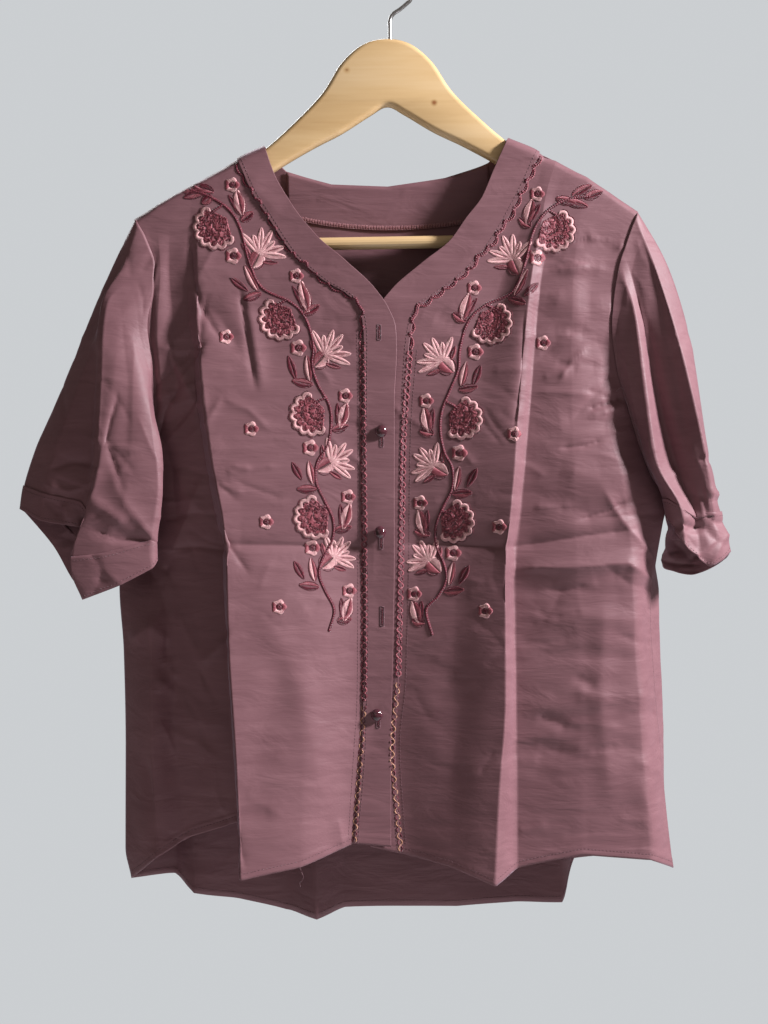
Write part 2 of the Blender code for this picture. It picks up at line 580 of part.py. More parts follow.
def main():
    clear_scene()
    parts = new_collection("embroidered top on a hanger")
    cutters = new_collection("cutters", shown=False)
    cloth = new_material("cloth", (0.20, 0.105, 0.125), 0.55)
    button = new_material("button", (0.12, 0.045, 0.06), 0.15)
    wood = new_material("wood", (0.80, 0.58, 0.33), 0.4)
    steel = new_material("steel", (0.62, 0.62, 0.62), 0.25, 1.0)

    panels = {
        "front_right": body_panel(FRONT_RIGHT, front=True),
        "front_left": body_panel(FRONT_LEFT, front=True),
        "back": body_panel(BACK, front=False),
    }
    for name, grid in panels.items():
        cloth_object(name, grid, False, cloth, parts)
    outside = {
        "front_right": moved_out(panels["front_right"], -ON_TOP),
        "front_left": moved_out(panels["front_left"], ON_TOP),
        "back": moved_out(panels["back"], -ON_TOP),
    }
    band_columns = STEPS_BETWEEN_FOLDS + 1
    for side in ("right", "left"):
        cloth_object("band_" + side, outside["front_" + side][:, :band_columns], False, cloth, parts)
    cloth_object("back_neck_facing", facing_grid(), False, cloth, parts)

    back_edges = {"right": outside["back"][:, 0], "left": outside["back"][:, -1]}
    for side, folds, cuff_gap in (("right", SLEEVE_RIGHT, CUFF_GAP_RIGHT), ("left", SLEEVE_LEFT, CUFF_GAP_LEFT)):
        edge = len(folds[0][1]) - 1
        sleeve = sleeve_grid(folds, 0, CUFF_SEAM_STATION, gap_last=cuff_gap)
        names = [name for name, _ in folds]
        sleeve = lapped_over_armhole(sleeve, names, outside["front_" + side][:, -1], back_edges[side])
        cloth_object("sleeve_" + side, sleeve, True, cloth, parts)
        cuff = sleeve_grid(folds, CUFF_SEAM_STATION, edge, gap_first=cuff_gap)
        cloth_object("cuff_" + side, cuff, True, cloth, parts)

    for number, (across, height) in enumerate(BUTTONS, 1):
        placket = fold_point(FRONT_RIGHT[0][1], height)[1]
        depth = placket - ON_TOP - WALL / 2 - SEAM_GAP - BUTTON_BASE
        button_object(f"button_{number}", across, depth, height, button, parts)

    frame = bpy.data.objects.new("hanger frame", None)
    frame.location = Vector((WOOD_CENTRE[0], 0, WOOD_CENTRE[1])) * MM
    frame.rotation_euler = (0, -WOOD_TILT, 0)
    parts.objects.link(frame)
    hanger_wood(frame, wood, parts, cutters)
    hanger_bar(frame, wood, parts)
    hanger_hook(steel, parts)


main()
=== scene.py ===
"""Looks of the embroidered top on its wooden hanger: thin creased cloth, stitching, embroidery and wood.

Metres, +Z up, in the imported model's frame: the origin is the hanging point, the front faces -Y.
Right and left in the names are the wearer's.
"""
import math
import random

import bmesh
import bpy
import numpy as np
from mathutils import Matrix, Vector, noise
from mathutils.bvhtree import BVHTree


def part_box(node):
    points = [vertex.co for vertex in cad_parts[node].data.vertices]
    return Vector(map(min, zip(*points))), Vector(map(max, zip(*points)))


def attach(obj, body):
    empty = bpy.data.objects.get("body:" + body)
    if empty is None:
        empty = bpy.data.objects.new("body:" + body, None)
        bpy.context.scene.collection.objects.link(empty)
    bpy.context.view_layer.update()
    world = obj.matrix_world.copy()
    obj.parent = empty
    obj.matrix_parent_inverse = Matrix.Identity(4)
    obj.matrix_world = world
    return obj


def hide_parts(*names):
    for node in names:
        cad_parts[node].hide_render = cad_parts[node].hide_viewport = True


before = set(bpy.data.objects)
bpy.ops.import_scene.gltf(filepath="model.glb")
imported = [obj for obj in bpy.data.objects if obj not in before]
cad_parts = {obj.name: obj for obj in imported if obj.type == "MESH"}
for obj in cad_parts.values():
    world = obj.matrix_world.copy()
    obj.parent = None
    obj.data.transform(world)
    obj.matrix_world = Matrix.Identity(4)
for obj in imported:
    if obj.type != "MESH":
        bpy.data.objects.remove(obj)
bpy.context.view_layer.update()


MM = 0.001

# The photograph's frame: 768 x 1024 steps of 0.92 mm at the hanger's plane, seen from 1.2 m
FRAME_WIDTH = 768
FRAME_HEIGHT = 1024
STEP = 0.92
DISTANCE = 1200.0
EYE = (-6.44, -DISTANCE, -498.6)
SENSOR = 24.0

# Cloth, in mm
CLOTH = 0.7
ON_TOP = 1.3
ROLL_DROP = 6.0
ROLL_ROWS = (14.0, 7.0, 3.0, 0.0)
SEAM_DEPTH = 0.75
UNDERARM_OUT = 1.5
LEVELS = (-755, -715, -675, -635, -600, -570, -545, -528, -505, -480, -455, -430, -400, -370, -335, -300)
YOKE_ROWS = 6
NECK_TURN = 0.12
LEVEL_SLOPE = 1e-9
COLUMN_STEP = 2.6
BACK_COLUMN_STEP = 4.0
SLEEVE_COLUMN_STEP = 2.8
ROWS_IN_A_GAP = 14
BACK_ROWS_IN_A_GAP = 11
YOKE_ROWS_IN_A_GAP = 7
ROLL_ROWS_IN_A_GAP = 2
SLEEVE_ROWS = 100
CUFF_ROWS = 24

# How a sleeve's first ring meets the armhole: columns about its top and its underarm, lift in mm, rows to fade
TOP_COLUMNS = 3
UNDERARM_COLUMNS = 6
TOP_LIFT = 1.5
ARMHOLE_ROWS = 12

# Creases: what every height is multiplied by, and how many columns ease them out beside a side seam
CREASE_GAIN = 1.8
SEAM_EASE = 5.0

# Each fold below is one row: its name, then its points from the hem up to the shoulder,
# as (x across, y depth, z height) in mm.
SIDE_RIGHT = ((-240, 10, -838), (-246, 10, -810), (-246, 11, -719), (-248, 12, -627), (-252, 12, -567),
              (-249, 10, -506), (-244, 8, -467))
SIDE_LEFT = ((261, 8, -828), (255, 7, -779), (249, 5, -722), (242, 2, -652), (238, 0, -586),
             (242, -1, -553), (250, 1, -509), (255, 5, -487))

FRONT_RIGHT = (
    ("opening edge", ((0, -20, -801), (0, -20, -705), (2, -22, -614), (3, -24, -542), (3, -24, -401),
        (5, -24, -353), (4, -23, -331), (-3, -22, -313), (-15, -21, -296), (-42, -18, -270),
        (-67, -15, -248), (-90, -12, -219), (-107, -9, -189), (-116, -9, -163))),
    ("band seam", ((-34, -20, -798), (-27, -20, -713), (-24, -22, -584), (-26, -24, -470), (-25, -24, -344),
        (-28, -22, -318), (-37, -20, -304), (-64, -18, -287), (-92, -15, -261), (-111, -12, -232),
        (-128, -10, -205), (-141, -9, -175))),
    ("centre panel", ((-81, -46, -813), (-79, -42, -710), (-78, -36, -583), (-79, -33, -533),
        (-82, -34, -488), (-91, -30, -419), (-104, -23, -348), (-117, -19, -307), (-133, -15, -261),
        (-145, -11, -219), (-154, -9, -183))),
    ("knife fold edge", ((-132, -60, -821), (-136, -57, -727), (-144, -50, -611), (-147, -45, -535),
        (-150, -44, -505), (-160, -39, -454), (-173, -28, -348), (-176, -22, -307), (-176, -15, -261),
        (-171, -11, -228), (-168, -9, -191))),
    ("knife fold root", ((-139, -26, -778), (-142, -25, -722), (-149, -22, -614), (-155, -19, -528),
        (-168, -17, -453), (-180, -17, -346), (-185, -15, -306), (-186, -12, -260), (-183, -10, -228),
        (-182, -9, -198))),
    ("side valley", ((-185, -10, -796), (-196, -10, -715), (-198, -9, -615), (-199, -7, -529),
        (-197, -8, -460), (-196, -12, -405), (-198, -13, -333), (-202, -11, -276), (-202, -10, -237),
        (-200, -9, -208))),
    ("side crest", ((-212, -22, -811), (-216, -22, -713), (-218, -18, -615), (-220, -8, -566),
        (-223, 2, -529), (-222, 1, -478), (-213, -6, -433), (-208, -14, -401), (-212, -16, -333),
        (-210, -13, -277), (-213, -10, -241), (-214, -9, -216))),
    ("side seam", SIDE_RIGHT + ((-226, -2, -442), (-217, -10, -405), (-218, -13, -365), (-222, -14, -330),
        (-217, -14, -297), (-215, -12, -276), (-224, -10, -250), (-236, -9, -230))),
)

FRONT_LEFT = (
    ("opening edge", ((-19, -16, -802), (-19, -16, -705), (-20, -18, -614), (-20, -20, -542),
        (-21, -20, -401), (-21, -20, -352), (-18, -19, -330), (-11, -18, -312), (1, -17, -296),
        (27, -15, -273), (54, -13, -251), (68, -12, -231), (83, -11, -211), (94, -9, -185),
        (107, -9, -156))),
    ("band seam", ((9, -16, -808), (4, -16, -713), (7, -18, -649), (10, -20, -542), (11, -20, -450),
        (13, -20, -401), (16, -20, -352), (19, -19, -330), (26, -18, -312), (43, -17, -300),
        (71, -15, -278), (92, -13, -254), (109, -11, -226), (124, -10, -197), (136, -9, -169))),
    ("centre panel", ((53, -29, -817), (55, -27, -711), (57, -26, -584), (59, -26, -535), (64, -28, -488),
        (71, -26, -418), (82, -21, -348), (94, -17, -306), (110, -14, -260), (128, -11, -214),
        (141, -9, -173))),
    ("front fold edge", ((92, -41, -831), (96, -39, -753), (102, -38, -665), (102, -38, -559),
        (108, -37, -488), (115, -32, -398), (125, -24, -298), (135, -16, -243), (141, -12, -210),
        (151, -9, -176))),
    ("front fold root", ((114, -22, -820), (114, -21, -757), (113, -21, -667), (112, -22, -559),
        (118, -24, -488), (126, -21, -398), (135, -17, -297), (145, -13, -242), (150, -11, -210),
        (162, -9, -182))),
    ("side panel", ((172, -26, -807), (172, -26, -712), (169, -27, -614), (167, -28, -551),
        (165, -28, -488), (163, -24, -397), (164, -19, -306), (170, -13, -242), (180, -9, -191))),
    ("side turn", ((234, -21, -813), (227, -22, -714), (220, -23, -615), (217, -25, -551), (211, -25, -488),
        (194, -22, -415), (185, -19, -365), (181, -16, -315), (188, -12, -251), (202, -9, -206))),
    ("side seam", SIDE_LEFT + ((239, -4, -467), (225, -9, -433), (212, -12, -391), (205, -13, -365),
        (201, -14, -326), (207, -13, -279), (219, -11, -242), (227, -9, -223))),
)

BACK = (
    ("side seam right", SIDE_RIGHT + ((-236, 18, -436), (-229, 22, -394), (-227, 20, -328),
        (-228, 14, -272), (-233, 11, -246), (-236, 9, -230))),
    ("hollow 1", ((-204, 34, -840), (-207, 33, -723), (-210, 32, -620), (-212, 30, -525), (-212, 30, -431),
        (-212, 27, -346), (-212, 16, -273), (-214, 9, -216))),
    ("crest 1", ((-184, 16, -854), (-186, 22, -721), (-189, 26, -619), (-191, 28, -525), (-193, 28, -431),
        (-191, 25, -346), (-184, 16, -273), (-182, 9, -198))),
    ("hollow 2", ((-143, 34, -864), (-146, 34, -723), (-150, 34, -620), (-152, 33, -525), (-154, 31, -431),
        (-155, 26, -346), (-152, 17, -273), (-141, 9, -175))),
    ("neck point right", ((-99, 36, -875), (-107, 35, -723), (-112, 34, -620), (-116, 33, -525),
        (-120, 31, -431), (-121, 26, -346), (-120, 17, -273), (-116, 9, -163))),
    ("crest 2", ((-69, 14, -878), (-76, 24, -721), (-82, 30, -619), (-86, 32, -525), (-89, 30, -431),
        (-93, 25, -346), (-96, 16, -273), (-97, 9, -183))),
    ("hollow 3", ((-43, 33, -872), (-46, 35, -723), (-48, 35, -620), (-50, 34, -525), (-52, 31, -431),
        (-53, 25, -346), (-54, 16, -273), (-55, 9, -195))),
    ("centre back", ((9, 37, -872), (7, 37, -723), (5, 36, -620), (3, 34, -525), (1, 31, -431),
        (0, 25, -346), (-1, 16, -273), (-3, 9, -197))),
    ("hollow 4", ((63, 37, -872), (60, 37, -723), (58, 36, -620), (56, 34, -525), (54, 31, -431),
        (53, 25, -346), (51, 16, -273), (50, 9, -189))),
    ("crest 3", ((117, 34, -867), (113, 34, -723), (109, 34, -620), (105, 33, -525), (103, 31, -431),
        (101, 26, -346), (98, 17, -273), (90, 9, -175))),
    ("neck point left", ((160, 18, -863), (155, 24, -721), (150, 28, -619), (146, 30, -525),
        (141, 30, -431), (133, 26, -346), (122, 17, -273), (107, 9, -156))),
    ("hollow 5", ((174, 38, -827), (174, 37, -723), (172, 35, -620), (167, 33, -525), (162, 31, -431),
        (155, 27, -346), (150, 17, -273), (151, 9, -176))),
    ("hollow 6", ((226, 34, -821), (222, 33, -723), (216, 31, -619), (212, 29, -544), (207, 30, -431),
        (199, 27, -346), (191, 17, -273), (180, 9, -191))),
    ("side turn", ((257, 26, -829), (256, 24, -721), (252, 23, -619), (250, 20, -572), (242, 20, -525),
        (241, 21, -487), (234, 24, -440), (219, 26, -384), (209, 22, -319), (208, 14, -264),
        (208, 9, -210))),
    ("side seam left", SIDE_LEFT + ((243, 14, -452), (233, 20, -422), (220, 22, -375), (212, 20, -319),
        (215, 14, -274), (223, 11, -241), (227, 9, -223))),
)

# Each fold of a sleeve, from the armhole down: four stations, the cuff's seam and the cuff's edge
SLEEVE_RIGHT = (
    ("outer fold", ((-236, 0, -230), (-262, -2, -288), (-298, -3, -376), (-326, -3, -441), (-337, -2, -476),
        (-340, -2, -496))),
    ("outer front", ((-232, -10, -238), (-254, -15, -302), (-282, -21, -383), (-305, -24, -450),
        (-314, -22, -483), (-315, -22, -507))),
    ("front hollow", ((-222, -11, -255), (-260, -21, -307), (-265, -27, -384), (-269, -31, -450),
        (-278, -30, -491), (-281, -27, -512))),
    ("pressed ridge", ((-215, -12, -276), (-255, -24, -309), (-259, -33, -388), (-261, -38, -452),
        (-268, -38, -502), (-268, -6, -503))),
    ("front panel", ((-217, -14, -297), (-242, -26, -324), (-249, -36, -394), (-259, -40, -461),
        (-286, -36, -542), (-276, -31, -577))),
    ("front middle", ((-222, -14, -330), (-231, -26, -348), (-231, -37, -408), (-234, -40, -470),
        (-258, -38, -538), (-242, -36, -564))),
    ("inner fold", ((-218, -13, -365), (-219, -24, -384), (-214, -33, -425), (-208, -36, -475),
        (-215, -35, -526), (-214, -33, -549))),
    ("inner turn", ((-217, -10, -405), (-213, -20, -420), (-206, -27, -445), (-205, -31, -479),
        (-211, -29, -529), (-211, -27, -542))),
    ("inner back", ((-226, -2, -442), (-220, -8, -451), (-215, -14, -468), (-214, -18, -492),
        (-222, -16, -529), (-220, -14, -544))),
    ("underarm seam", ((-244, 8, -467), (-248, 5, -477), (-250, 1, -490), (-251, -2, -506),
        (-252, -4, -535), (-252, -4, -559))),
    ("back inner", ((-236, 18, -436), (-248, 20, -444), (-257, 14, -464), (-264, 7, -492), (-276, 2, -532),
        (-273, 0, -569))),
    ("back middle", ((-229, 22, -394), (-245, 24, -405), (-263, 20, -424), (-280, 14, -460),
        (-299, 8, -517), (-291, 5, -565))),
    ("back panel", ((-227, 17, -300), (-249, 22, -347), (-277, 19, -385), (-301, 14, -432), (-319, 9, -492),
        (-313, 9, -530))),
    ("back outer", ((-234, 11, -240), (-258, 13, -301), (-291, 10, -381), (-318, 7, -441), (-334, 5, -478),
        (-339, 5, -498))),
)

SLEEVE_LEFT = (
    ("outer fold", ((227, 0, -223), (252, -3, -269), (274, -5, -341), (290, -6, -442), (303, -4, -501),
        (311, -3, -535))),
    ("outer crest", ((223, -10, -231), (238, -16, -271), (260, -24, -347), (281, -28, -438),
        (293, -18, -502), (301, -13, -542))),
    ("outer panel", ((219, -11, -242), (227, -14, -292), (245, -17, -365), (265, -20, -442),
        (283, -20, -503), (289, -18, -548))),
    ("crease root", ((213, -12, -260), (224, -13, -306), (238, -12, -374), (256, -12, -447),
        (276, -17, -506), (279, -22, -542))),
    ("crease crest", ((207, -13, -279), (219, -20, -312), (227, -28, -384), (236, -33, -452),
        (259, -31, -495), (265, -29, -529))),
    ("front panel", ((201, -14, -326), (208, -18, -347), (218, -22, -397), (232, -22, -452),
        (250, -22, -488), (255, -23, -513))),
    ("inner front", ((205, -13, -365), (211, -16, -383), (222, -17, -420), (235, -16, -456),
        (248, -13, -488), (251, -13, -504))),
    ("inner turn", ((229, -7, -445), (241, -11, -455), (247, -8, -468), (253, -5, -482), (257, -1, -496),
        (254, -2, -515))),
    ("underarm seam", ((255, 5, -487), (263, 5, -492), (264, 7, -500), (263, 9, -509), (260, 10, -523),
        (253, 9, -549))),
    ("back inner", ((246, 12, -460), (254, 17, -467), (260, 19, -477), (264, 18, -491), (268, 17, -525),
        (264, 15, -554))),
    ("back middle", ((233, 20, -422), (241, 24, -431), (255, 25, -450), (268, 23, -478), (281, 18, -527),
        (280, 15, -557))),
    ("back panel", ((212, 18, -295), (241, 23, -347), (260, 23, -394), (280, 19, -445), (295, 12, -517),
        (296, 9, -551))),
    ("back outer", ((223, 11, -233), (247, 15, -292), (271, 14, -352), (289, 9, -434), (302, 4, -508),
        (309, 3, -541))),
)
CUFF_SEAM_STATION = 4
CUFF_LAP = 0.07
CUFF_OUT = 0.9
CALM_BELOW_SHOULDER = 45.0
CALM_BESIDE_OPENING = 60.0
HEM_DEPTH = 9.0
HEM_STITCH = 5.5
HEM_LIFT = 0.5
STITCH_DRAW = 0.35

# How crisp each fold's crease is, from 0 (rounded) to 1 (pressed); the rest are SOFT_FOLD
CRISP = {
    "knife fold edge": 1.0, "knife fold root": 1.0, "side crest": 0.8, "side valley": 0.35,
    "front fold edge": 1.0, "front fold root": 0.45, "side panel": 0.3, "side turn": 0.2,
    "crest 1": 0.9, "crest 2": 0.9, "neck point left": 0.6, "hollow 5": 0.4,
    "outer fold": 0.9, "pressed ridge": 1.0, "crease crest": 1.0, "crease root": 1.0,
    "outer crest": 1.0, "outer panel": 0.8, "outer front": 0.6, "front hollow": 0.7,
    "inner fold": 0.6, "front middle": 0.5,
    "opening edge": 0.0, "band seam": 0.2,
}
SOFT_FOLD = 0.15

# The wooden hanger, in mm from its own centre, and the hook's wire in mm
WOOD_CENTRE = (-3.0, -150.0)
WOOD_TILT = math.radians(1.0)
WOOD_THICKNESS = 12.0
WOOD_ROUNDING = 5.0
WOOD_HALF = ((0, 86), (22, 81), (42, 64), (59, 38), (81, 15), (113, -13), (142, -29), (178, -50), (198, -64),
             (211, -79), (214, -96), (209, -109), (198, -113), (188, -107), (179, -92), (164, -76), (137, -57),
             (103, -33), (70, -14), (42, 0), (16, 16), (0, 24))
WOOD_KNOTS = ((39.5, -6.0, -124.0), (-40.5, -6.0, -94.0))
KNOT_RADIUS = 4.0
HOOK_RADIUS = 1.8
HOOK_BEND = 20.0
HOOK_NECK = ((-1, -84), (-1, -66), (-1, -54), (-1, -46), (2, -40.5), (8.5, -36), (16.96, -28.8))
HOOK_START_ANGLE = -32
HOOK_END_ANGLE = 195
HOOK_STEP = 2.0
HOOK_ANGLE_STEP = 4
OUTLINE_STEPS = 8
SPLINE_STEPS = 12
SHARP_ANGLE = math.radians(50)

# The studio: each light's name, place and size in metres, power in watts and colour
LIGHTS = (
    ("key", (2.1, -0.70, 0.72), 0.34, 150, (1.0, 0.965, 1.0)),
    ("fill", (-0.9, -2.2, 0.3), 1.5, 2, (1.0, 0.95, 0.92)),
    ("rim", (-0.6, 1.6, 0.7), 1.2, 24, (1, 1, 1)),
)
ROOM_LIGHT = 0.155
ROOM_COLOUR = (0.90, 0.785, 0.69)
BACKGROUND = (0.60, 0.62, 0.64)
FLOOR_RADIUS = 2.3
FLOOR_HEIGHT = -1.9

# The back neck facing
FACING_EDGE_SIDE = -226.0
FACING_EDGE_CENTRE = -237.0
FACING_TOP_INSET = 1.0
FACING_ROWS = 14
FACING_STEPS = 14
FACING_INSIDE = 1.4


def smooth(at, places, values):
    """Values on a smooth curve through (places, values) that never swings past its points."""
    places = np.asarray(places, float)
    values = np.asarray(values, float)
    slopes = np.diff(values) / np.diff(places)
    tangents = np.empty_like(values)
    tangents[0] = slopes[0]
    tangents[-1] = slopes[-1]
    same_way = slopes[1:] * slopes[:-1] > LEVEL_SLOPE
    tangents[1:-1] = np.where(same_way, np.minimum(abs(slopes[1:]), abs(slopes[:-1])) * np.sign(slopes[1:]), 0)
    tangents[1:-1] = (tangents[1:-1] + np.where(same_way, (slopes[1:] + slopes[:-1]) / 2, 0)) / 2
    at = np.clip(at, places[0], places[-1])
    i = np.clip(np.searchsorted(places, at, side="right") - 1, 0, len(places) - 2)
    width = places[i + 1] - places[i]
    t = (at - places[i]) / width
    return ((1 + 2 * t) * (1 - t) ** 2 * values[i] + t * (1 - t) ** 2 * width * tangents[i]
            + t * t * (3 - 2 * t) * values[i + 1] + t * t * (t - 1) * width * tangents[i + 1])


def unit(vectors):
    """The same directions, each of length 1."""
    return vectors / np.maximum(np.linalg.norm(vectors, axis=-1, keepdims=True), 1e-9)


def between_folds(rings, crispness, shares):
    """Points between the folds of each closed ring: straight beside a pressed fold, rounded beside a soft one.

    rings has one row of fold points for each height; shares is one list of places in each gap.
    """
    count = rings.shape[1]
    rings = np.concatenate([rings[:, -2:], rings, rings[:, :3]], axis=1)
    crispness = crispness[-2:] + crispness + crispness[:3]
    places = np.arange(rings.shape[1], dtype=float)
    at = np.array([2 + gap + share for gap in range(count) for share in shares[gap]])
    low = np.clip(np.floor(at).astype(int), 0, rings.shape[1] - 2)
    part = at - low
    crisp = np.interp(at, places, crispness)[None, :, None]
    straight = rings[:, low] * (1 - part)[None, :, None] + rings[:, low + 1] * part[None, :, None]
    rounded = np.array([[smooth(at, places, row[:, k]) for k in range(3)] for row in rings]).transpose(0, 2, 1)
    return straight * crisp + rounded * (1 - crisp)


def column_heights(hem, top, rows_in_a_gap):
    """Heights of a body panel's rows in one column, from its hem to its top edge."""
    first, last = LEVELS[0], LEVELS[-1]
    upper = top - ROLL_ROWS[0]
    yoke = [last + (upper - last) * k / YOKE_ROWS for k in range(1, YOKE_ROWS)]
    coarse = np.array([hem, (hem + first) / 2, *LEVELS, *yoke, *(top - drop for drop in ROLL_ROWS)])
    steps = [rows_in_a_gap] * (len(coarse) - 1)
    for k in range(len(LEVELS), len(coarse) - 1):
        steps[k] = YOKE_ROWS_IN_A_GAP if k < len(coarse) - len(ROLL_ROWS) else ROLL_ROWS_IN_A_GAP
    heights = []
    for low, high, count in zip(coarse, coarse[1:], steps):
        heights += [low + (high - low) * step / count for step in range(count)]
    return heights + [top]


def body_panel(folds, front, column_step=COLUMN_STEP, rows_in_a_gap=ROWS_IN_A_GAP):
    """A fine grid of points, rows from hem to shoulder and columns from the first fold to the last."""
    hems = [points[0][2] for _, points in folds]
    tops = [points[-1][2] for _, points in folds]
    crispness = [CRISP.get(name, SOFT_FOLD) for name, _ in folds]
    tracks = [np.array(points, float).T for _, points in folds]
    shares = []
    for gap in range(len(folds) - 1):
        wide = max(abs(tracks[gap][0].min() - tracks[gap + 1][0].max()),
                   abs(tracks[gap][0].max() - tracks[gap + 1][0].min()))
        count = max(4, int(wide / column_step))
        shares.append([step / count for step in range(count)])
    at = [gap + share for gap in range(len(folds) - 1) for share in shares[gap]] + [float(len(folds) - 1)]
    order = np.arange(len(folds), dtype=float)
    hem_line = np.interp(at, order, hems)
    top_line = np.interp(at, order, tops)
    heights = np.array([column_heights(h, t, rows_in_a_gap) for h, t in zip(hem_line, top_line)]).T
    grid = np.empty((*heights.shape, 3))
    for row in range(heights.shape[0]):
        here = heights[row]
        near_an_end = (here < LEVELS[0]) | (here > LEVELS[-1])
        from_hem = (here - hem_line) / (top_line - hem_line)
        low = np.clip(np.floor(at).astype(int), 0, len(folds) - 2)
        ends = np.empty((len(at), len(folds), 2))
        for k, (across, depth, z) in enumerate(tracks):
            own = z[0] + (z[-1] - z[0]) * from_hem
            height = np.where(near_an_end, own, here)
            ends[:, k, 0] = smooth(height, z, across)
            ends[:, k, 1] = smooth(height, z, depth)
        part = np.array(at) - low
        crisp = np.interp(at, order, crispness)
        index = np.arange(len(at))
        for axis in (0, 1):
            straight = ends[index, low, axis] * (1 - part) + ends[index, low + 1, axis] * part
            rounded = np.array([smooth(np.array([a]), order, ends[i, :, axis])[0] for i, a in enumerate(at)])
            grid[row, :, axis] = straight * crisp + rounded * (1 - crisp)
        grid[row, :, 2] = here
    if front:
        on_arm = np.ones(len(at), bool)
    else:
        names = [name for name, _ in folds]
        first, last = names.index("crest 2"), names.index("crest 3")
        on_arm = (np.array(at) < first - 1 + NECK_TURN) | (np.array(at) > last + 1 - NECK_TURN)
    drop = np.minimum((top_line[None, :] - heights) / ROLL_DROP, 1.0)
    share = np.where(on_arm[None, :], np.sin(drop * math.pi / 2), 1.0)
    seam = -SEAM_DEPTH if front else SEAM_DEPTH
    grid[:, :, 1] = seam + (grid[:, :, 1] - seam) * share
    return grid


def normals_of(grid, closed=False):
    """Unit normals of a grid; on a front panel seen from outside they point away from the viewer."""
    if closed:
        wide = np.concatenate([grid[:, -1:], grid, grid[:, :1]], axis=1)
        along = np.gradient(wide, axis=1)[:, 1:-1]
    else:
        along = np.gradient(grid, axis=1)
    return unit(np.cross(along, np.gradient(grid, axis=0)))


def moved_out(grid, distance, closed=False):
    """The grid moved along its normals by a distance in mm."""
    return grid + normals_of(grid, closed) * np.asarray(distance)[..., None]


def seen_at(points):
    """Where points in mm stand in the photograph's frame."""
    away = DISTANCE / (points[..., 1] - EYE[1])
    across = FRAME_WIDTH / 2 + (points[..., 0] - EYE[0]) * away / STEP
    down = FRAME_HEIGHT / 2 - (points[..., 2] - EYE[2]) * away / STEP
    return np.stack([across, down], axis=-1)


def from_line(spots, line):
    """Distance of each spot from a line of points, and the share along the line."""
    line = np.array(line, float)
    best = np.full(spots.shape[:-1], 1e9)
    share = np.zeros(spots.shape[:-1])
    lengths = np.linalg.norm(np.diff(line, axis=0), axis=1)
    total = lengths.sum()
    done = 0.0
    for start, end, length in zip(line, line[1:], lengths):
        along = (end - start) / length
        offset = spots - start
        t = np.clip(offset @ along, 0, length)
        away = offset - t[..., None] * along
        distance = np.linalg.norm(away, axis=-1)
        nearer = distance < best
        best = np.where(nearer, distance, best)
        share = np.where(nearer, (done + t) / total, share)
        done += length
    return best, share


def creased(grid, creases, towards_viewer):
    """The grid with soft ridges (positive) and troughs (negative) along lines of the photograph's frame."""
    spots = seen_at(grid)
    lift = np.zeros(grid.shape[:2])
    for height, width, crisp, line in creases:
        distance, share = from_line(spots, line)
        reach = distance / width
        form = crisp * np.exp(-reach * 1.6) + (1 - crisp) * np.exp(-reach * reach)
        ends = np.clip(np.minimum(share, 1 - share) * 6, 0, 1)
        lift += height * form * (0.25 + 0.75 * ends)
    return moved_out(grid, lift * towards_viewer * CREASE_GAIN)


def crumpled(grid, patches, outwards):
    """The grid with small creases scattered in patches of the frame."""
    creases = []
    for seed, count, (left, top, right, foot), height, width, turn, tilt in patches:
        draw = random.Random(seed)
        for _ in range(count):
            middle = spot(draw.uniform(left, right), draw.uniform(top, foot))
            angle = math.radians(draw.gauss(turn, tilt))
            reach = spot(math.cos(angle), math.sin(angle)) * draw.uniform(12, 34)
            bend = square(reach) * draw.uniform(-0.22, 0.22)
            rise = height * draw.uniform(0.45, 1.0) * draw.choice((-1, 1))
            line = (middle - reach, middle + bend, middle + reach)
            creases.append((rise, width * draw.uniform(0.7, 1.3), 0.9, line))
    return creased(grid, creases, outwards)


def rumpled(grid, towards_viewer, amount, seed, calm_opening=False):
    """Low uneven waves, longer across than down; none at the shoulder or, if it is calm, the placket."""
    lift = np.empty(grid.shape[:2])
    calm = np.clip((grid[-1:, :, 2] - grid[:, :, 2]) / CALM_BELOW_SHOULDER, 0, 1)
    if calm_opening:
        calm *= np.clip(abs(grid[:, :, 0] - grid[:, :1, 0]) / CALM_BESIDE_OPENING, 0, 1)
    for row in range(grid.shape[0]):
        for column in range(grid.shape[1]):
            x, y, z = grid[row, column]
            broad = noise.noise(Vector((x / 95 + seed, y / 120, z / 60)))
            fine = noise.noise(Vector((x / 34 + seed, y / 40, z / 15)))
            lift[row, column] = amount * (broad + 0.35 * fine)
    return moved_out(grid, lift * calm * towards_viewer)


def held_at_seams(grid, plain, seams):
    """The grid eased back to its plain places beside the side seams, which keeps these closed."""
    columns = np.arange(grid.shape[1])
    away = np.min([abs(columns - seam) for seam in seams], axis=0)
    return plain + (grid - plain) * np.clip(away / SEAM_EASE, 0, 1)[None, :, None]


def from_hem(grid):
    """Distance along the cloth of each point from the first row."""
    steps = np.linalg.norm(np.diff(grid, axis=0), axis=2)
    return np.concatenate([np.zeros((1, grid.shape[1])), np.cumsum(steps, axis=0)])


def hemmed(grid, towards_viewer):
    """The grid with its first rows as thick as a hem turned twice, and drawn in along the stitches."""
    distance = from_hem(grid)
    lift = HEM_LIFT * np.clip((HEM_DEPTH - distance) / 1.5 + 0.5, 0, 1)
    lift -= STITCH_DRAW * np.exp(-((distance - HEM_STITCH) / 1.6) ** 2)
    return moved_out(grid, lift * towards_viewer)


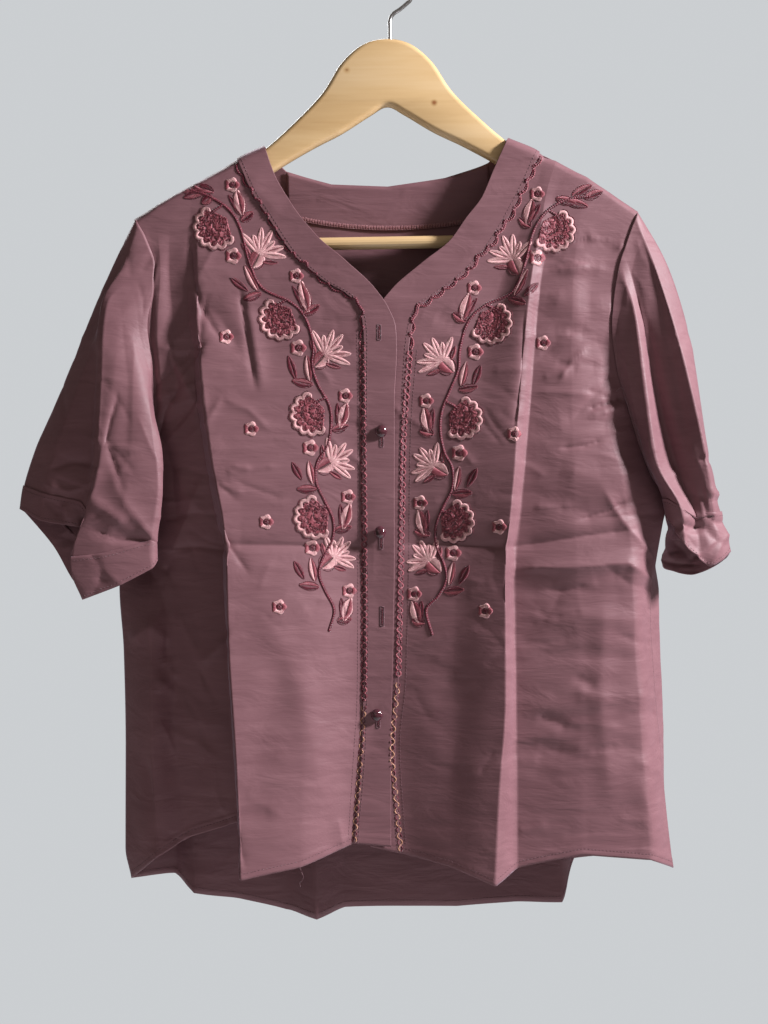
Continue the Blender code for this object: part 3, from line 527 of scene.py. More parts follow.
def line_at(grid, distance, lift, closed=False):
    """The line of the cloth at a distance from the first row, lifted off it, with its normals."""
    reach = from_hem(grid)
    raised = moved_out(grid, np.full(grid.shape[:2], float(lift)), closed)
    normals = normals_of(grid, closed) * np.sign(lift)
    points, ways = [], []
    for column in range(grid.shape[1]):
        points.append([np.interp(distance, reach[:, column], raised[:, column, k]) for k in range(3)])
        ways.append([np.interp(distance, reach[:, column], normals[:, column, k]) for k in range(3)])
    return np.array(points), np.array(ways)


def sleeve_grid(folds, first, last, row_count):
    """Rings of points from station first to station last."""
    stations = np.linspace(first, last, row_count)
    lines = []
    for _, points in folds:
        points = np.array(points, float)
        places = np.arange(len(points))
        lines.append(np.array([smooth(stations, places, points[:, k]) for k in range(3)]).T)
    rings = np.array(lines).transpose(1, 0, 2)
    crispness = [CRISP.get(name, SOFT_FOLD) for name, _ in folds]
    shares = []
    for gap_index in range(len(folds)):
        following = (gap_index + 1) % len(folds)
        wide = np.linalg.norm(rings[:, gap_index] - rings[:, following], axis=1).max()
        count = max(4, int(wide / SLEEVE_COLUMN_STEP))
        shares.append([step / count for step in range(count)])
    grid = between_folds(rings, crispness, shares)
    starts = np.cumsum([0] + [len(s) for s in shares])[:-1]
    return grid, dict(zip([name for name, _ in folds], starts))


def on_edge(edge, height):
    """The point of a panel's edge at a height."""
    heights = edge[:, 2]
    return np.array([np.interp(height, heights, edge[:, 0]), np.interp(height, heights, edge[:, 1]), height])


def lapped_over_armhole(grid, starts, front_edge, back_edge):
    """The sleeve's top rings laid round the body's edges, just outside them."""
    underarm = starts["underarm seam"]
    outwards = np.sign(grid[0, underarm, 0])
    wanted = grid[0].copy()
    for column, point in enumerate(grid[0]):
        front, back = on_edge(front_edge, point[2]), on_edge(back_edge, point[2])
        over_top = max(0.0, 1 - min(column, len(grid[0]) - column) / TOP_COLUMNS)
        below = max(0.0, 1 - abs(column - underarm) / UNDERARM_COLUMNS)
        edge = front if column < underarm else back
        middle = (front + back) / 2
        target = edge * (1 - max(over_top, below)) + middle * max(over_top, below)
        wanted[column] = target + np.array([outwards * UNDERARM_OUT * below, 0, TOP_LIFT * over_top])
    shift = wanted - grid[0]
    for row in range(ARMHOLE_ROWS):
        grid[row] += shift * (1 - row / ARMHOLE_ROWS)
    return grid


def mesh_object(name, vertices, faces, material):
    """A mesh piece in mm, riding on the one body."""
    mesh = bpy.data.meshes.new(name)
    mesh.from_pydata((np.asarray(vertices, float) * MM).tolist(), [], [list(map(int, face)) for face in faces])
    mesh.update()
    mesh.shade_smooth()
    mesh.materials.append(material)
    piece = bpy.data.objects.new(name, mesh)
    bpy.context.scene.collection.objects.link(piece)
    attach(piece, "root")
    return piece


def grid_faces(rows, columns, closed):
    """Four-sided faces between the rows and columns of a grid, closed into a ring or not."""
    faces = []
    for row in range(rows - 1):
        for column in range(columns if closed else columns - 1):
            following = (column + 1) % columns
            faces.append((row * columns + column, row * columns + following,
                          (row + 1) * columns + following, (row + 1) * columns + column))
    return faces


def cloth_piece(name, grid, closed, material, node):
    """A thin shell of cloth on a grid of points, in place of a CAD node."""
    rows, columns = grid.shape[:2]
    piece = mesh_object(name, grid.reshape(-1, 3), grid_faces(rows, columns, closed), material)
    wall = piece.modifiers.new("Wall", "SOLIDIFY")
    wall.thickness = CLOTH * MM
    wall.offset = 0.0
    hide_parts(node)
    return piece


def facing_grid():
    """The back's neck facing: points of the back panel below its neckline, moved to its inner side."""
    names = [name for name, _ in BACK]
    first, last = names.index("crest 2"), names.index("crest 3")
    folds = BACK[first:last + 1]
    count = (len(folds) - 1) * FACING_STEPS
    grid = []
    for k in range(count + 1):
        i = min(k // FACING_STEPS, len(folds) - 2)
        share = k / FACING_STEPS - i
        here, there = folds[i][1], folds[i + 1][1]
        top = here[-1][2] * (1 - share) + there[-1][2] * share - FACING_TOP_INSET
        bow = math.sin(math.pi * k / count)
        low = FACING_EDGE_SIDE + (FACING_EDGE_CENTRE - FACING_EDGE_SIDE) * bow
        line = []
        for z in np.linspace(low, top, FACING_ROWS):
            ends = []
            for points in (here, there):
                across, depth, heights = np.array(points, float).T
                ends.append(np.array([smooth(z, heights, across), smooth(z, heights, depth), z]))
            line.append(ends[0] * (1 - share) + ends[1] * share)
        grid.append(line)
    return moved_out(np.array(grid).transpose(1, 0, 2), FACING_INSIDE)


# Materials
class Nodes:
    """Short calls for building a material's node tree."""

    def __init__(self, name):
        self.material = bpy.data.materials.new(name)
        self.material.use_nodes = True
        self.tree = self.material.node_tree
        self.shader = self.tree.nodes["Principled BSDF"]
        self.place = self.tree.nodes.new("ShaderNodeTexCoord").outputs["Object"]

    def set(self, **values):
        for name, value in values.items():
            self.shader.inputs[name.replace("_", " ")].default_value = value

    def mapped(self, scale, turn=(0, 0, 0)):
        node = self.tree.nodes.new("ShaderNodeMapping")
        node.inputs["Scale"].default_value = scale
        node.inputs["Rotation"].default_value = turn
        self.tree.links.new(self.place, node.inputs["Vector"])
        return node.outputs["Vector"]

    def noise(self, scale, detail=2.0, stretch=(1, 1, 1), turn=(0, 0, 0), distortion=0.0):
        node = self.tree.nodes.new("ShaderNodeTexNoise")
        node.inputs["Scale"].default_value = scale
        node.inputs["Detail"].default_value = detail
        node.inputs["Distortion"].default_value = distortion
        self.tree.links.new(self.mapped(stretch, turn), node.inputs["Vector"])
        return node.outputs["Fac"]

    def wave(self, scale, axis, distortion=0.5):
        node = self.tree.nodes.new("ShaderNodeTexWave")
        node.bands_direction = axis
        node.inputs["Scale"].default_value = scale
        node.inputs["Distortion"].default_value = distortion
        node.inputs["Detail"].default_value = 1.0
        node.inputs["Detail Scale"].default_value = 2.0
        self.tree.links.new(self.mapped((1, 1, 1)), node.inputs["Vector"])
        return node.outputs["Fac"]

    def round_mark(self, place, radius):
        """1 at a place in mm, falling to 0 at the radius."""
        node = self.tree.nodes.new("ShaderNodeMapping")
        node.inputs["Scale"].default_value = (1 / (radius * MM),) * 3
        node.inputs["Location"].default_value = [-value / radius for value in place]
        self.tree.links.new(self.place, node.inputs["Vector"])
        ball = self.tree.nodes.new("ShaderNodeTexGradient")
        ball.gradient_type = "SPHERICAL"
        self.tree.links.new(node.outputs["Vector"], ball.inputs["Vector"])
        return ball.outputs["Fac"]

    def math(self, operation, first, second):
        node = self.tree.nodes.new("ShaderNodeMath")
        node.operation = operation
        for socket, value in zip(node.inputs, (first, second)):
            if isinstance(value, (int, float)):
                socket.default_value = value
            else:
                self.tree.links.new(value, socket)
        return node.outputs["Value"]

    def ramp(self, factor, *stops):
        node = self.tree.nodes.new("ShaderNodeValToRGB")
        elements = node.color_ramp.elements
        while len(elements) < len(stops):
            elements.new(0.5)
        for element, (position, colour) in zip(elements, stops):
            element.position = position
            element.color = (*colour, 1)
        self.tree.links.new(factor, node.inputs["Fac"])
        return node.outputs["Color"]

    def span(self, factor, low, high):
        node = self.tree.nodes.new("ShaderNodeMapRange")
        node.inputs["To Min"].default_value = low
        node.inputs["To Max"].default_value = high
        self.tree.links.new(factor, node.inputs["Value"])
        return node.outputs["Result"]

    def bump(self, height, strength, distance, normal=None):
        node = self.tree.nodes.new("ShaderNodeBump")
        node.inputs["Strength"].default_value = strength
        node.inputs["Distance"].default_value = distance
        self.tree.links.new(height, node.inputs["Height"])
        if normal is not None:
            self.tree.links.new(normal, node.inputs["Normal"])
        self.tree.links.new(node.outputs["Normal"], self.shader.inputs["Normal"])
        return node.outputs["Normal"]

    def link(self, output, socket):
        self.tree.links.new(output, self.shader.inputs[socket])


def tone(red, green, blue):
    """A colour given as it looks on a screen, 0 to 255, in the renderer's linear numbers."""
    return tuple(((v / 255 + 0.055) / 1.055) ** 2.4 if v > 10 else v / 255 / 12.92 for v in (red, green, blue))


def cloth_material():
    made = Nodes("silky plum cloth")
    patches = made.noise(9, 3, (1, 1, 1.6))
    slub = made.noise(110, 3, (0.16, 0.5, 1.5), (0, 0.05, 0), 0.4)
    streak = made.noise(700, 1, (0.05, 1, 1))
    mixed = made.math("ADD", made.math("MULTIPLY", patches, 0.6), made.math("MULTIPLY", slub, 0.4))
    colours = ((0.30, tone(116, 80, 86)), (0.52, tone(125, 88, 94)), (0.72, tone(134, 96, 102)))
    made.link(made.ramp(mixed, *colours), "Base Color")
    made.link(made.span(made.math("ADD", slub, made.math("MULTIPLY", streak, 0.5)), 0.46, 0.60), "Roughness")
    warp = made.wave(900, "X")
    weft = made.wave(900, "Z", 0.8)
    weave = made.math("MULTIPLY", warp, weft)
    crinkle = made.noise(42, 3, (0.45, 0.7, 1.3), (0, 0.2, 0), 0.8)
    broad = made.bump(crinkle, 0.5, 0.0026)
    first = made.bump(made.math("ADD", slub, made.math("MULTIPLY", streak, 0.3)), 0.34, 0.0009, broad)
    made.bump(weave, 0.12, 0.0001, first)
    made.set(Sheen_Weight=0.25, Sheen_Roughness=0.35, Sheen_Tint=(0.88, 0.72, 0.90, 1), Specular_IOR_Level=0.32)
    return made.material


def thread_material(name, dark, light, roughness=0.42):
    made = Nodes(name)
    tint = made.noise(260, 2, (1, 1, 1))
    made.link(made.ramp(tint, (0.35, dark), (0.68, light)), "Base Color")
    made.bump(made.wave(1400, "DIAGONAL", 1.0), 0.3, 0.00015)
    made.set(Roughness=roughness, Sheen_Weight=0.25, Sheen_Roughness=0.3, Specular_IOR_Level=0.5)
    return made.material


def wood_material():
    made = Nodes("varnished pale wood")
    grain = made.noise(22, 4, (0.22, 1, 1.7), (0, 0.42, 0), 0.5)
    fine = made.noise(380, 2, (0.05, 1, 1))
    lines = made.math("ADD", made.math("MULTIPLY", grain, 0.8), made.math("MULTIPLY", fine, 0.2))
    for place in WOOD_KNOTS:
        lines = made.math("SUBTRACT", lines, made.math("MULTIPLY", made.round_mark(place, KNOT_RADIUS), 0.5))
    colours = ((0.08, tone(150, 100, 60)), (0.34, tone(204, 170, 120)),
               (0.5, tone(216, 184, 135)), (0.7, tone(224, 195, 150)))
    made.link(made.ramp(lines, *colours), "Base Color")
    made.link(made.span(grain, 0.28, 0.38), "Roughness")
    made.bump(fine, 0.06, 0.0003)
    made.set(Coat_Weight=0.35, Coat_Roughness=0.2)
    return made.material


def steel_material():
    made = Nodes("bright hook wire")
    scratch = made.noise(900, 2, (1, 1, 0.1))
    made.link(made.ramp(scratch, (0.3, (0.50, 0.50, 0.51)), (0.7, (0.68, 0.68, 0.69))), "Base Color")
    made.link(made.span(scratch, 0.2, 0.34), "Roughness")
    made.bump(scratch, 0.05, 0.0001)
    made.set(Metallic=1.0)
    return made.material


def button_material():
    made = Nodes("dark mauve button")
    swirl = made.noise(240, 2, (1, 1, 1), (0, 0, 0), 1.2)
    made.link(made.ramp(swirl, (0.35, tone(58, 26, 34)), (0.7, tone(96, 52, 62))), "Base Color")
    made.link(made.span(swirl, 0.08, 0.16), "Roughness")
    made.set(Transmission_Weight=0.15, Coat_Weight=0.6, Coat_Roughness=0.05, IOR=1.5)
    return made.material


def floor_material():
    made = Nodes("pale floor")
    made.link(made.ramp(made.noise(3, 2), (0.4, (0.72, 0.73, 0.75)), (0.6, (0.75, 0.76, 0.78))), "Base Color")
    made.set(Roughness=0.8)
    return made.material


def make_camera():
    data = bpy.data.cameras.new("camera")
    data.sensor_fit = "VERTICAL"
    data.sensor_height = SENSOR
    data.sensor_width = SENSOR * FRAME_WIDTH / FRAME_HEIGHT
    data.lens = SENSOR * DISTANCE / (FRAME_HEIGHT * STEP)
    data.clip_start = 0.05
    data.clip_end = 50
    camera = bpy.data.objects.new("camera", data)
    camera.location = Vector(EYE) * MM
    camera.rotation_euler = (math.radians(90), 0, 0)
    bpy.context.scene.collection.objects.link(camera)
    bpy.context.scene.camera = camera


def area_light(name, place, target, size, power, colour):
    data = bpy.data.lights.new(name, "AREA")
    data.size = size
    data.energy = power
    data.color = colour
    light = bpy.data.objects.new(name, data)
    light.location = place
    light.rotation_euler = (Vector(target) - Vector(place)).to_track_quat("-Z", "Y").to_euler()
    bpy.context.scene.collection.objects.link(light)


def make_studio():
    middle = (0, 0, -0.5)
    for name, place, size, power, colour in LIGHTS:
        area_light(name, place, middle, size, power, colour)
    world = bpy.data.worlds.new("studio")
    world.use_nodes = True
    tree = world.node_tree
    light = tree.nodes["Background"]
    light.inputs["Color"].default_value = (*ROOM_COLOUR, 1)
    light.inputs["Strength"].default_value = ROOM_LIGHT
    seen = tree.nodes.new("ShaderNodeBackground")
    seen.inputs["Color"].default_value = (*BACKGROUND, 1)
    mix = tree.nodes.new("ShaderNodeMixShader")
    tree.links.new(tree.nodes.new("ShaderNodeLightPath").outputs["Is Camera Ray"], mix.inputs["Fac"])
    tree.links.new(light.outputs["Background"], mix.inputs[1])
    tree.links.new(seen.outputs["Background"], mix.inputs[2])
    tree.links.new(mix.outputs["Shader"], tree.nodes["World Output"].inputs["Surface"])
    bpy.context.scene.view_settings.view_transform = "Standard"
    bpy.context.scene.world = world
    mesh = bpy.data.meshes.new("floor")
    form = bmesh.new()
    bmesh.ops.create_circle(form, cap_ends=True, segments=96, radius=FLOOR_RADIUS)
    form.to_mesh(mesh)
    form.free()
    mesh.materials.append(floor_material())
    floor = bpy.data.objects.new("floor", mesh)
    floor.location = (0, 0, FLOOR_HEIGHT)
    bpy.context.scene.collection.objects.link(floor)


def on_spline(before, here, after, beyond, t):
    """The place a share t of the way from here to after, on a smooth curve through all four."""
    return 0.5 * (2 * here + (after - before) * t + (2 * before - 5 * here + 4 * after - beyond) * t * t
                  + (3 * here - before - 3 * after + beyond) * t ** 3)


def rounded_outline(points, steps):
    """A closed smooth line through the points."""
    points = np.array(points, float)
    before, after, beyond = np.roll(points, 1, 0), np.roll(points, -1, 0), np.roll(points, -2, 0)
    line = [on_spline(before, points, after, beyond, k / steps) for k in range(steps)]
    return np.array(line).transpose(1, 0, 2).reshape(-1, 2)


def curve_piece(name, curve, place, material, node):
    """A curve's form as a smooth mesh piece in place of a CAD node."""
    drawn = bpy.data.objects.new(name, curve)
    drawn.matrix_world = place
    bpy.context.scene.collection.objects.link(drawn)
    bpy.context.view_layer.update()
    mesh = bpy.data.meshes.new_from_object(drawn.evaluated_get(bpy.context.evaluated_depsgraph_get()))
    bpy.data.objects.remove(drawn, do_unlink=True)
    mesh.transform(place)
    form = bmesh.new()
    form.from_mesh(mesh)
    bmesh.ops.remove_doubles(form, verts=form.verts, dist=0.01 * MM)
    bmesh.ops.recalc_face_normals(form, faces=form.faces)
    form.to_mesh(mesh)
    form.free()
    mesh.shade_smooth()
    mesh.set_sharp_from_angle(angle=SHARP_ANGLE)
    mesh.materials.clear()
    mesh.materials.append(material)
    piece = bpy.data.objects.new(name, mesh)
    bpy.context.scene.collection.objects.link(piece)
    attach(piece, "root")
    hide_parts(node)


def poly_curve(name, dimensions, bevel, points, closed=False):
    """A curve with a round edge through the points, in mm."""
    curve = bpy.data.curves.new(name, "CURVE")
    curve.dimensions = dimensions
    curve.bevel_depth = bevel * MM
    curve.bevel_resolution = 4
    line = curve.splines.new("POLY")
    line.use_cyclic_u = closed
    line.points.add(len(points) - 1)
    for point, place in zip(line.points, points):
        point.co = (*(value * MM for value in place), 1)
    return curve


def make_hanger(wood, steel):
    """The board with rounded edges and the wire hook, finer than their solids; the bar keeps its solid."""
    whole = list(WOOD_HALF) + [(-x, z) for x, z in reversed(WOOD_HALF[1:-1])]
    outline = [(x, z, 0) for x, z in rounded_outline(whole, OUTLINE_STEPS)]
    board = poly_curve("hanger outline", "2D", WOOD_ROUNDING, outline, closed=True)
    board.fill_mode = "BOTH"
    board.extrude = (WOOD_THICKNESS / 2 - WOOD_ROUNDING) * MM
    board.offset = -WOOD_ROUNDING * MM
    frame_place = (Matrix.Translation(Vector((WOOD_CENTRE[0], 0, WOOD_CENTRE[1])) * MM)
                   @ Matrix.Rotation(-WOOD_TILT, 4, "Y"))
    curve_piece("hanger-board", board, frame_place @ Matrix.Rotation(math.radians(90), 4, "X"), wood,
                "hanger_wood")
    route = [(x, 0, z) for x, z in walk(HOOK_NECK, HOOK_STEP)[:-1]]
    for angle in range(HOOK_START_ANGLE, HOOK_END_ANGLE, HOOK_ANGLE_STEP):
        turn = math.radians(angle)
        route.append((HOOK_BEND * math.cos(turn), 0, HOOK_RADIUS - HOOK_BEND + HOOK_BEND * math.sin(turn)))
    wire = poly_curve("hook wire", "3D", HOOK_RADIUS, route)
    wire.use_fill_caps = True
    curve_piece("hook-wire", wire, Matrix.Identity(4), steel, "hanger_hook")
    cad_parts["hanger_bar"].data.materials[0] = wood


class Surface:
    """The outer side of some cloth, found along the line of sight through a place in the frame."""

    def __init__(self, grids):
        vertices, faces = [], []
        for grid in grids:
            rows, columns = grid.shape[:2]
            start = len(vertices)
            vertices += [Vector(point) for point in grid.reshape(-1, 3)]
            faces += [[start + corner for corner in face] for face in grid_faces(rows, columns, False)]
        self.tree = BVHTree.FromPolygons(vertices, faces)

    def at(self, spot):
        """(place in mm, normal towards the viewer), or None where the sight line meets no cloth."""
        target = Vector((EYE[0] + (spot[0] - FRAME_WIDTH / 2) * STEP, 0,
                         EYE[2] - (spot[1] - FRAME_HEIGHT / 2) * STEP))
        eye = Vector(EYE)
        place, normal, _, _ = self.tree.ray_cast(eye, (target - eye).normalized())
        if place is None:
            return None
        return place, (-normal if normal.y > 0 else normal)


class Thread:
    """Stitches of one colour, gathered into one mesh."""

    def __init__(self, surface):
        self.surface = surface
        self.vertices = []
        self.faces = []

    def stitch(self, start, end, width=0.8, lift=0.45):
        """One stitch between two places in the frame: a low crowned strand with pointed ends."""
        first, last = self.surface.at(start), self.surface.at(end)
        if first is None or last is None or abs(first[0].y - last[0].y) > LONGEST_DROP:
            return
        self.strand(first[0], last[0], (first[1] + last[1]).normalized(), width, lift)

    def strand(self, first, last, normal, width, lift):
        run = last - first
        if run.length < 0.1:
            return
        across = run.cross(normal).normalized() * width / 2
        base = len(self.vertices)
        low = normal * 0.05
        self.vertices.append(first + low)
        for share in (0.22, 0.78):
            middle = first + run * share + low
            self.vertices += [middle - across, middle + across, middle + normal * lift]
        self.vertices.append(last + low)
        a, b, end = base + 1, base + 4, base + 7
        for k in range(3):
            following = (k + 1) % 3
            self.faces.append((base, a + following, a + k))
            self.faces.append((a + k, a + following, b + following, b + k))
            self.faces.append((b + k, b + following, end))

    def path(self, line, width, length=2.6, overlap=0.35, lift=0.45):
        """Short stitches end to end along a line, as in stem stitch."""
        spots = walk(line, length)
        for start, end in zip(spots, spots[1:]):
            reach = (end - start) * overlap
            self.stitch(start - reach / 2, end + reach / 2, width, lift)

    def dashes(self, line, stitch, gap, width):
        """A row of running stitches."""
        spots = walk(line, stitch + gap)
        for start, end in zip(spots, spots[1:]):
            self.stitch(start, start + (end - start) * stitch / (stitch + gap), width, 0.25)

    def piece(self, name, material):
        mesh_object(name, self.vertices, self.faces, material)


def reach_of(points):
    """Distance along a line of each of its points."""
    return np.concatenate([[0], np.cumsum(np.linalg.norm(np.diff(points, axis=0), axis=1))])


def place_on(points, reach, at):
    """The place a distance along a line of points."""
    return Vector([np.interp(at, reach, points[:, axis]) for axis in range(3)])


def walk(line, step):
    """Places every step along a smooth curve through the line's points."""
    line = np.array(line, float)
    padded = np.vstack([2 * line[0] - line[1], line, 2 * line[-1] - line[-2]])
    dense = []
    for k in range(1, len(padded) - 2):
        dense += [on_spline(*padded[k - 1:k + 3], t) for t in np.linspace(0, 1, SPLINE_STEPS, endpoint=False)]
    dense.append(line[-1])
    dense = np.array(dense)
    reach = reach_of(dense)
    count = max(1, round(reach[-1] / step))
    at = np.linspace(0, reach[-1], count + 1)
    return np.stack([np.interp(at, reach, dense[:, 0]), np.interp(at, reach, dense[:, 1])], axis=1)


def spot(x, y):
    return np.array([x, y], float)


def heading(degrees, mirror):
    """A direction in the frame: 0 is right, 90 is up; mirror is -1 on the wearer's left."""
    turn = math.radians(degrees)
    return np.array([math.cos(turn) * mirror, -math.sin(turn)])


def square(direction):
    """The direction turned by a quarter."""
    return np.array([-direction[1], direction[0]])


class Embroidery:
    """Satin-stitched flowers and leaves in three colours of thread."""

    def __init__(self, surface):
        self.dark = Thread(surface)
        self.rose = Thread(surface)
        self.pale = Thread(surface)
        self.draw = random.Random(5)

    def leaf(self, base, tip, width, left, right, rim=None, spacing=1.0, blunt=0.8):
        """A leaf: slanting satin stitches from its spine to each edge; a low blunt rounds its ends."""
        run = tip - base
        length = np.linalg.norm(run)
        along = run / length
        out = square(along)
        count = max(4, int(length / spacing))

        def half(share):
            return width / 2 * math.sin(math.pi * share ** 0.85) ** blunt

        for k in range(count):
            share = (k + 0.5) / count
            spine = base + run * share
            for thread, way in ((left, -1), (right, 1)):
                outer = spine + out * way * half(share) + along * half(share) * 0.5
                thread.stitch(spine - along * 0.4, outer, 1.35)
        if rim is not None:
            for way in (-1, 1):
                edge = [base + run * s + out * way * (half(s) + 0.3) for s in np.linspace(0.02, 0.98, 9)]
                rim.path(edge, 0.9, 2.2)

    def ball(self, centre, radius, upper, lower, core):
        """A round bud: satin stitches from the middle outwards, in two colours, with a darker core."""
        count = int(2 * math.pi * radius / 1.0)
        for k in range(count):
            turn = 2 * math.pi * k / count
            out = np.array([math.cos(turn), -math.sin(turn)])
            thread = upper if abs(out[1]) > 0.66 else lower
            uneven = radius * (0.93 + 0.10 * math.cos(turn * 5))
            thread.stitch(centre + out * radius * 0.36, centre + out * uneven, 1.3, 0.6)
        for k in range(CORE_STITCHES):
            turn = 2 * math.pi * k / CORE_STITCHES
            out = np.array([math.cos(turn), math.sin(turn)])
            core.stitch(centre - out * radius * 0.1, centre + out * radius * 0.46, 1.1, 0.6)

    def bud(self, ball, almond, mirror):
        """A round tip over a two-tone almond, with a dark leaf beside it."""
        ball, almond = np.array(ball, float), np.array(almond, float)
        down = almond - ball
        down /= np.linalg.norm(down)
        self.ball(ball, 8.0, self.pale, self.rose, self.dark)
        top, foot = ball + down * 7, almond + down * 13
        side = square(down) * mirror
        self.leaf(foot, top - side * 2.5, 12, self.pale, self.rose, self.dark, 0.9, 0.7)
        self.pale.path([foot - side * 1.0, (foot + top) / 2 - side * 6.6, top - side * 3.5], 2.0, 2.4, 0.5)
        self.leaf(foot - down * 1, ball + down * 8 + side * 6.5, 7.5, self.dark, self.dark)

    def fan(self, calyx, reach, mirror, start):
        """A dense spread of blunt pale petals over a domed calyx."""
        calyx = np.array(calyx, float)
        ahead = heading(start, mirror)
        hub = calyx + ahead * 7
        for k in range(FAN_PETALS):
            way = heading(start + FAN_SPREAD * (k / (FAN_PETALS - 1) - 0.5), mirror)
            long = (reach - 7) * (0.90 + 0.17 * math.sin(k * 2.1 + 0.6))
            self.leaf(hub, hub + way * long, 7.4, self.pale, self.pale, None, 0.85, 0.5)
            if k % 2:
                self.rose.path([hub + way * long * 0.25, hub + way * long * 0.78], 1.0, 2.4)
        self.leaf(calyx - ahead * 9, calyx + ahead * 8, 17, self.rose, self.pale, self.dark, 0.85, 0.55)
        for side in (-1, 1):
            root = calyx + heading(start + side * 80, mirror) * 7
            tip = hub + heading(start + side * (FAN_SPREAD / 2 + 18), mirror) * reach * 0.62
            self.leaf(root, tip, 5.5, self.dark, self.rose)

    def scalloped(self, centre, size, mirror, start):
        """A half-round flower: a thick scalloped rim round a stippled middle, open towards the stem."""
        centre = np.array(centre, float)
        root = centre + heading(start, mirror) * size * 0.30
        rim, notches = [], []
        for k in range(RIM_STITCHES + 1):
            share = k / RIM_STITCHES
            lobe = abs(math.sin(math.pi * RIM_LOBES * share))
            way = heading(start + 180 + RIM_SPREAD * (share - 0.5), mirror)
            rim.append(centre + way * size * (0.485 + 0.055 * lobe))
            notches.append(1 - lobe)
        inside = [centre + (place - centre) * 0.80 for place in rim]
        for place in inside[::2]:
            spots = [root + (place - root) * share for share in np.linspace(0, 1, 5)]
            for here, there in zip(spots, spots[1:]):
                self.rose.stitch(here, there, 1.5, 0.35)
        for _ in range(STIPPLES):
            place = root + (inside[self.draw.randrange(len(inside))] - root) * math.sqrt(self.draw.random())
            turn = self.draw.random() * math.pi
            way = np.array([math.cos(turn), math.sin(turn)]) * 1.5
            thread = self.dark if self.draw.random() < 0.6 else self.rose
            thread.stitch(place - way, place + way, 1.0, 0.75)
        for place, notch in zip(rim, notches):
            inwards = (centre - place) / np.linalg.norm(centre - place)
            self.pale.stitch(place, place + inwards * (4.4 + 1.8 * notch), 1.5, 0.8)
        self.dark.path([place + (place - centre) * 0.03 for place in rim[2:-2]], 0.7, 2.2)
        for degrees in (-38, 0, 38):
            tip = root + heading(start + 180 + degrees, mirror) * size * 0.25
            self.leaf(root, tip, 5.5, self.dark, self.dark)

    def rosette(self, centre):
        """A small separate flower with a pale top and foot."""
        centre = np.array(centre, float)
        self.ball(centre, 8.0, self.pale, self.rose, self.dark)
        ring = [centre + np.array([math.cos(t), math.sin(t)]) * 4.2 for t in np.linspace(0, 2 * math.pi, 13)]
        self.dark.path(ring, 0.8, 1.8)


